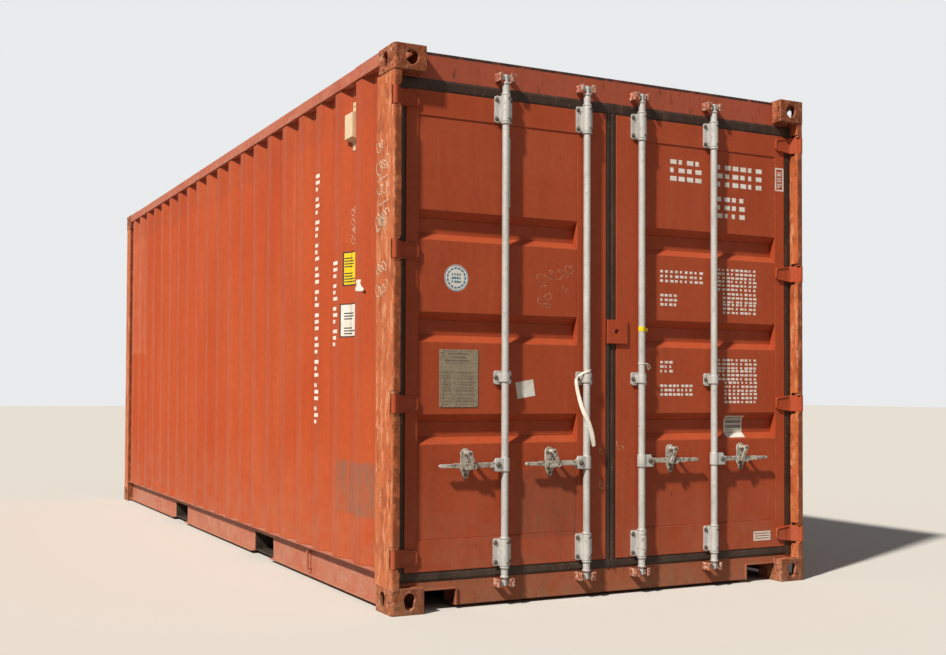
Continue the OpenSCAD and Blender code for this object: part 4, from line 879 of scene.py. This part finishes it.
wall_sheet("yellow_field_back", black_vinyl, 2362, 2486, 1534, 1706, 0.0)
wall_sheet("yellow_field", yellow_vinyl, 2370, 2482, 1541, 1699, 0.25, 0.1)
wall_sheet("white_field_back", black_vinyl, 2346, 2470, 1277, 1446, 0.0)
wall_sheet("white_field", paper, 2353, 2466, 1283, 1440, 0.25, 0.1)
torn_edge = [(2553, 1497), (2600, 1491), (2655, 1488), (2662, 1501), (2633, 1512), (2618, 1528),
             (2626, 1546), (2572, 1550), (2561, 1537), (2573, 1523), (2556, 1511)]
torn_outline = [(x, WALL_OUT_Y, z) for x, z in torn_edge]
sheet_piece("torn_label", torn_outline, paper, "frame", out=(0, -1, 0))
field_print = bmesh.new()
for z_low, rows in ((1552, 4), (1628, 4), (1292, 3), (1366, 3)):
    for row in range(rows):
        wide = random.choice((34, 44, 52))
        path = [(x, y - 0.35, z_low + row * 14) for y, x in between(WALL_SECTION, 2372, 2372 + 1.7 * wide)]
        folded_sheet(field_print, path, (0, 0, 6), (0, -0.1, 0))
finish_piece("wall_label_print", field_print, black_vinyl, "frame")

# %% [markdown]
# Chalk strokes are loops and lines without any meaning, on the left door, the post and the wall. A stroke
# is a tube pressed almost flat, and its line sways up and down about a straight one.

# %% Chalk strokes
POST_SIDE_Y = -1216.0


def stroke(mesh, start, end, tall, loops, upward, out, thick=1.7):
    start, end, upward = Vector(start), Vector(end), Vector(upward)
    steps = int(max(8, loops * 9))
    points = []
    phase = random.uniform(0, math.pi)
    for i in range(steps + 1):
        share = i / steps
        sway = math.sin(2 * math.pi * loops * share + phase)
        lean = 0.35 * tall * math.cos(2 * math.pi * loops * share * 1.13 + phase)
        swing = 0.5 * sway * (0.75 + 0.25 * math.sin(9 * share))
        points.append(start.lerp(end, share) + upward * tall * swing + (end - start).normalized() * lean)
    tube(mesh, points, thick, 6, 0.16, out)


DOOR_STROKES = (
    ((-424, 1554), (-330, 1580), 62, 2.3), ((-325, 1585), (-262, 1600), 66, 1.6),
    ((-262, 1603), (-212, 1620), 58, 1.7), ((-286, 1508), (-268, 1520), 34, 0.9),
    ((-420, 1440), (-380, 1452), 54, 1.2), ((-378, 1462), (-345, 1478), 50, 1.3),
    ((-372, 1425), (-350, 1425), 30, 1.2), ((-412, 1512), (-380, 1530), 10, 0.6))
door_chalk = bmesh.new()
for start, end, tall, loops in DOOR_STROKES:
    stroke(door_chalk, (DOOR_SHEET_X + 0.2, *start), (DOOR_SHEET_X + 0.2, *end), tall, loops, *DOOR_WAYS[1:])
finish_piece("chalk_door", door_chalk, chalk, "door_left")

POST_STROKES = (
    ((2835, 2140), (2900, 2150), 60, 2.2), ((2838, 2040), (2965, 2062), 78, 3.1),
    ((2838, 1982), (2960, 2000), 0, 0), ((2842, 1935), (2900, 1942), 58, 1.1),
    ((2905, 1938), (2962, 1950), 66, 1.3), ((2852, 1869), (2962, 1884), 0, 0),
    ((2838, 1790), (2945, 1808), 84, 4.2), ((2845, 1770), (2930, 1820), 60, 3.3),
    ((2842, 1570), (2930, 1584), 52, 3.4), ((2838, 1470), (2890, 1482), 74, 1.7),
    ((2900, 1462), (2955, 1500), 70, 1.3))
post_chalk = bmesh.new()
for start, end, tall, loops in POST_STROKES:
    stroke(post_chalk, (start[0], POST_SIDE_Y - 0.2, start[1]), (end[0], POST_SIDE_Y - 0.2, end[1]),
           tall, loops, *WALL_WAYS[1:], 3.0)
bold_chalk = worn_print("chalk_line_bold", "#F6D8BC", "#C07A50", 25, worn=0.2, rough=0.9, dirt="#E8C09C")
finish_piece("chalk_post", post_chalk, bold_chalk, "frame")
wall_chalk = bmesh.new()
for z, tall, loops in ((1898, 44, 2.4), (1850, 48, 2.1), (1800, 50, 2.6), (1752, 46, 1.6)):
    stroke(wall_chalk, (2418, VALLEY_Y - 0.2, z), (2474, VALLEY_Y - 0.2, z + 8), tall, loops,
           *WALL_WAYS[1:], 2.2)
finish_piece("chalk_wall", wall_chalk, bold_chalk, "frame")

# %% [markdown]
# A length of worn polyester strap is still tied at the second bar's guide. It passes round the bar above
# the guide, slips over its flange and hangs down across the bar to its end. It is a ribbon swept along
# those points.

# %% Strap
STRAP_WIDE = 20.0
STRAP_THICK = 1.0
STRAP_FACES = Vector((1.0, -0.35, 0.0)).normalized()
LAST_ON_BAR = 6
strap_path = [(2996, -143, 1120), (3012, -146, 1119), (3021.5, -158, 1115), (3021, -176, 1109),
              (3010, -194, 1101), (2997, -211, 1088), (2991, -220, 1072), (2991, -219, 1050),
              (2996, -215, 1015), (3003, -208, 975), (3012, -200, 935), (3019, -190, 905), (3022, -179, 885),
              (3022.5, -168, 860), (3022, -158, 834), (3020, -146, 798), (3016, -136, 765), (3013, -130, 742)]
strap = bmesh.new()
widths = [0.4, 0.45, 0.5, 0.5, 0.5, 0.55, 0.7, 0.8, 0.9, 0.95, 1.0, 1.05, 1.1, 1.1, 1.15, 1.2, 1.1, 0.8]
rings = []
for i, point in enumerate(strap_path):
    here = Vector(point)
    before, after = Vector(strap_path[max(i - 1, 0)]), Vector(strap_path[min(i + 1, len(strap_path) - 1)])
    ahead_here = (after - before).normalized()
    from_bar = Vector((here.x - BAR_X, here.y - BAR_Y[2], 0)).normalized() if i < LAST_ON_BAR else STRAP_FACES
    wide = ahead_here.cross(from_bar).normalized() * STRAP_WIDE / 2 * widths[i]
    thick = wide.cross(ahead_here).normalized() * STRAP_THICK / 2
    rings.append([strap.verts.new((here + a * wide + b * thick) * MM)
                  for a, b in ((-1, -1), (0, -1), (1, -1), (1, 1), (0, 1), (-1, 1))])
skin(strap, rings)
strap_piece = finish_piece("tied_strap", strap, webbing, "door_left")

# %% [markdown]
# The third bar has a turn of yellow tape with a loose flap, and a white cable tie whose two tails stick
# out. Each is a closed ring on the bar, made on the lathe, a little wider than the bar is. A strip of paper
# still clings to the first bar.

# %% Tape, tie and tag
BAR_RADIUS = 17.0
TAPE_Z = 1315
TIE_Z = 1150


def ring_on_bar(mesh, z, thick, tall):
    section = [(BAR_RADIUS + 0.05, 0), (BAR_RADIUS + thick, 0), (BAR_RADIUS + thick, tall),
               (BAR_RADIUS + 0.05, tall)]
    turned(mesh, section, (BAR_X, BAR_Y[3], z), (0, 0, 1), 28, closed=True)


tape = bmesh.new()
ring_on_bar(tape, TAPE_Z, 0.9, 24)
flap = ((15, 9, 1), (13, 24, -1), (12, 26, 15), (15, 10, 22))
thin_sheet(tape, [(BAR_X + x, BAR_Y[3] + y, TAPE_Z + z) for x, y, z in flap], (1, 0, 0), 0.5)
finish_piece("yellow_tape", tape, yellow_vinyl, "lock_bar_3")

tie = bmesh.new()
ring_on_bar(tie, TIE_Z, 1.6, 5)
for end_y, end_z in ((44, 1128), (32, 1122)):
    tail = [(16, 8, TIE_Z + 2), (17, end_y - 22, TIE_Z + 3), (15, end_y - 8, (TIE_Z + 3 + end_z) / 2 + 4),
            (12, end_y, end_z)]
    tube(tie, [(BAR_X + x, BAR_Y[3] + y, z) for x, y, z in tail], 2.6, 8)
finish_piece("white_tie", tie, paper, "lock_bar_3")

tag_y = BAR_Y[1] + BAR_RADIUS
tag_outline = ((-1, 1882), (9, 1890), (7, 2100), (10, 2216), (-1, 2222))
tag_points = [(BAR_X - 2, tag_y + y, z) for y, z in tag_outline]
sheet_piece("paper_tag_bar", tag_points, paper, "lock_bar_1", thick=1.0)

# %% [markdown]
# Where the handles and a passing load have struck the doors, the paint has flaked to a pale primer, in
# small groups of chips. And a few shreds of thin white film still cling to the lower bearing of the third
# bar.

# %% Chips and shreds
CHIP_GROUPS = (("door_right", DOOR_FRAME_X, 56, 744, 22, 24, 10),
               ("door_left", DOOR_FRAME_X, -66, 712, 14, 12, 7),
               ("door_left", DOOR_FRAME_X, -64, 555, 9, 28, 7),
               ("door_right", DOOR_SHEET_X, 493, 721, 14, 12, 4))
chips = {"door_left": bmesh.new(), "door_right": bmesh.new()}
for door, x_face, y_mid, z_mid, y_reach, z_reach, count in CHIP_GROUPS:
    for i in range(count):
        y = y_mid + random.uniform(-1, 1) * y_reach
        z = z_mid + random.uniform(-1, 1) * z_reach
        size = random.uniform(2.0, 6.5)
        corners = []
        for step in range(6):
            angle = math.radians(60 * step)
            far = size * random.uniform(0.55, 1.15)
            corners.append((x_face, y + far * math.cos(angle), z + far * math.sin(angle)))
        thin_sheet(chips[door], corners, (1, 0, 0), 0.15)
chipped = worn_print("chipped_primer", "#D3A478", "#A66A45", 12, worn=0.2, rough=0.8, dirt="#B98458")
for door, mesh in chips.items():
    finish_piece("paint_chips_" + door, mesh, chipped, door)

FILM_R = 23.0
film = bmesh.new()
for start, stop, z_start, z_stop in ((-70, 62, 306, 288), (-64, 40, 262, 298), (-20, 66, 280, 232),
                                     (-76, 10, 238, 222)):
    path = []
    for step in range(13):
        share = step / 12
        angle = math.radians(start + (stop - start) * share)
        path.append((BAR_X + FILM_R * math.cos(angle), BAR_Y[3] + FILM_R * math.sin(angle),
                     z_start + (z_stop - z_start) * share + random.uniform(-3, 3)))
    tube(film, path, 3.2, 6, 0.25, (1, 0.001, 0))
finish_piece("torn_film", film, paper, "door_right")

# %% [markdown]
# The CAD nodes keep their shapes and only get a finish. Pieces that come in pairs are named once, and the
# loop adds the side or the number of the bar.

# %% Every node gets its finish
finish_of = {
    "door_sill": sill_paint, "door_header": header_paint, "front_sill": rail_paint,
    "front_top_rail": rail_paint, "front_wall": wall_paint, "roof_panel": wall_paint,
    "roof_corner_plates": wall_paint, "cross_members": under_wax, "fork_pockets": under_wax,
    "hinge_lugs": post_paint, "hinge_pins": post_paint, "cam_keepers": keeper_paint,
    "tie_back_hooks": rail_paint, "floor_boards": plywood, "ventilators": cream, "data_plate": aluminium,
    "lock_plate": door_paint_and_shade, "corner_fittings_top": casting_paint, "corner_fittings_bottom": casting_paint,
}
pair_finish = {
    "bottom_side_rail": rail_paint, "top_side_rail": rail_paint, "door_post": post_paint,
    "front_post": post_paint, "side_wall": wall_paint, "door_frame": door_paint_and_shade, "door_panel": door_paint_and_shade,
    "hinge_blades": door_paint_and_shade, "door_gasket": seal, "bar_brackets": zinc, "handle_retainers": worn_zinc,
}
bar_finish = {"lock_bar": zinc, "lock_handle": worn_zinc, "handle_catch": worn_zinc}
for marks_of_piece, finishes in ((("left", "right"), pair_finish), (BAR_Y, bar_finish)):
    for piece, finish in finishes.items():
        for mark in marks_of_piece:
            finish_of[f"{piece}_{mark}"] = finish

for name, node in nodes.items():
    material = finish_of.get(name, post_paint)
    node.data.materials.clear()
    node.data.materials.append(material)
print("nodes without a finish of their own:", sorted(set(nodes) - set(finish_of)))
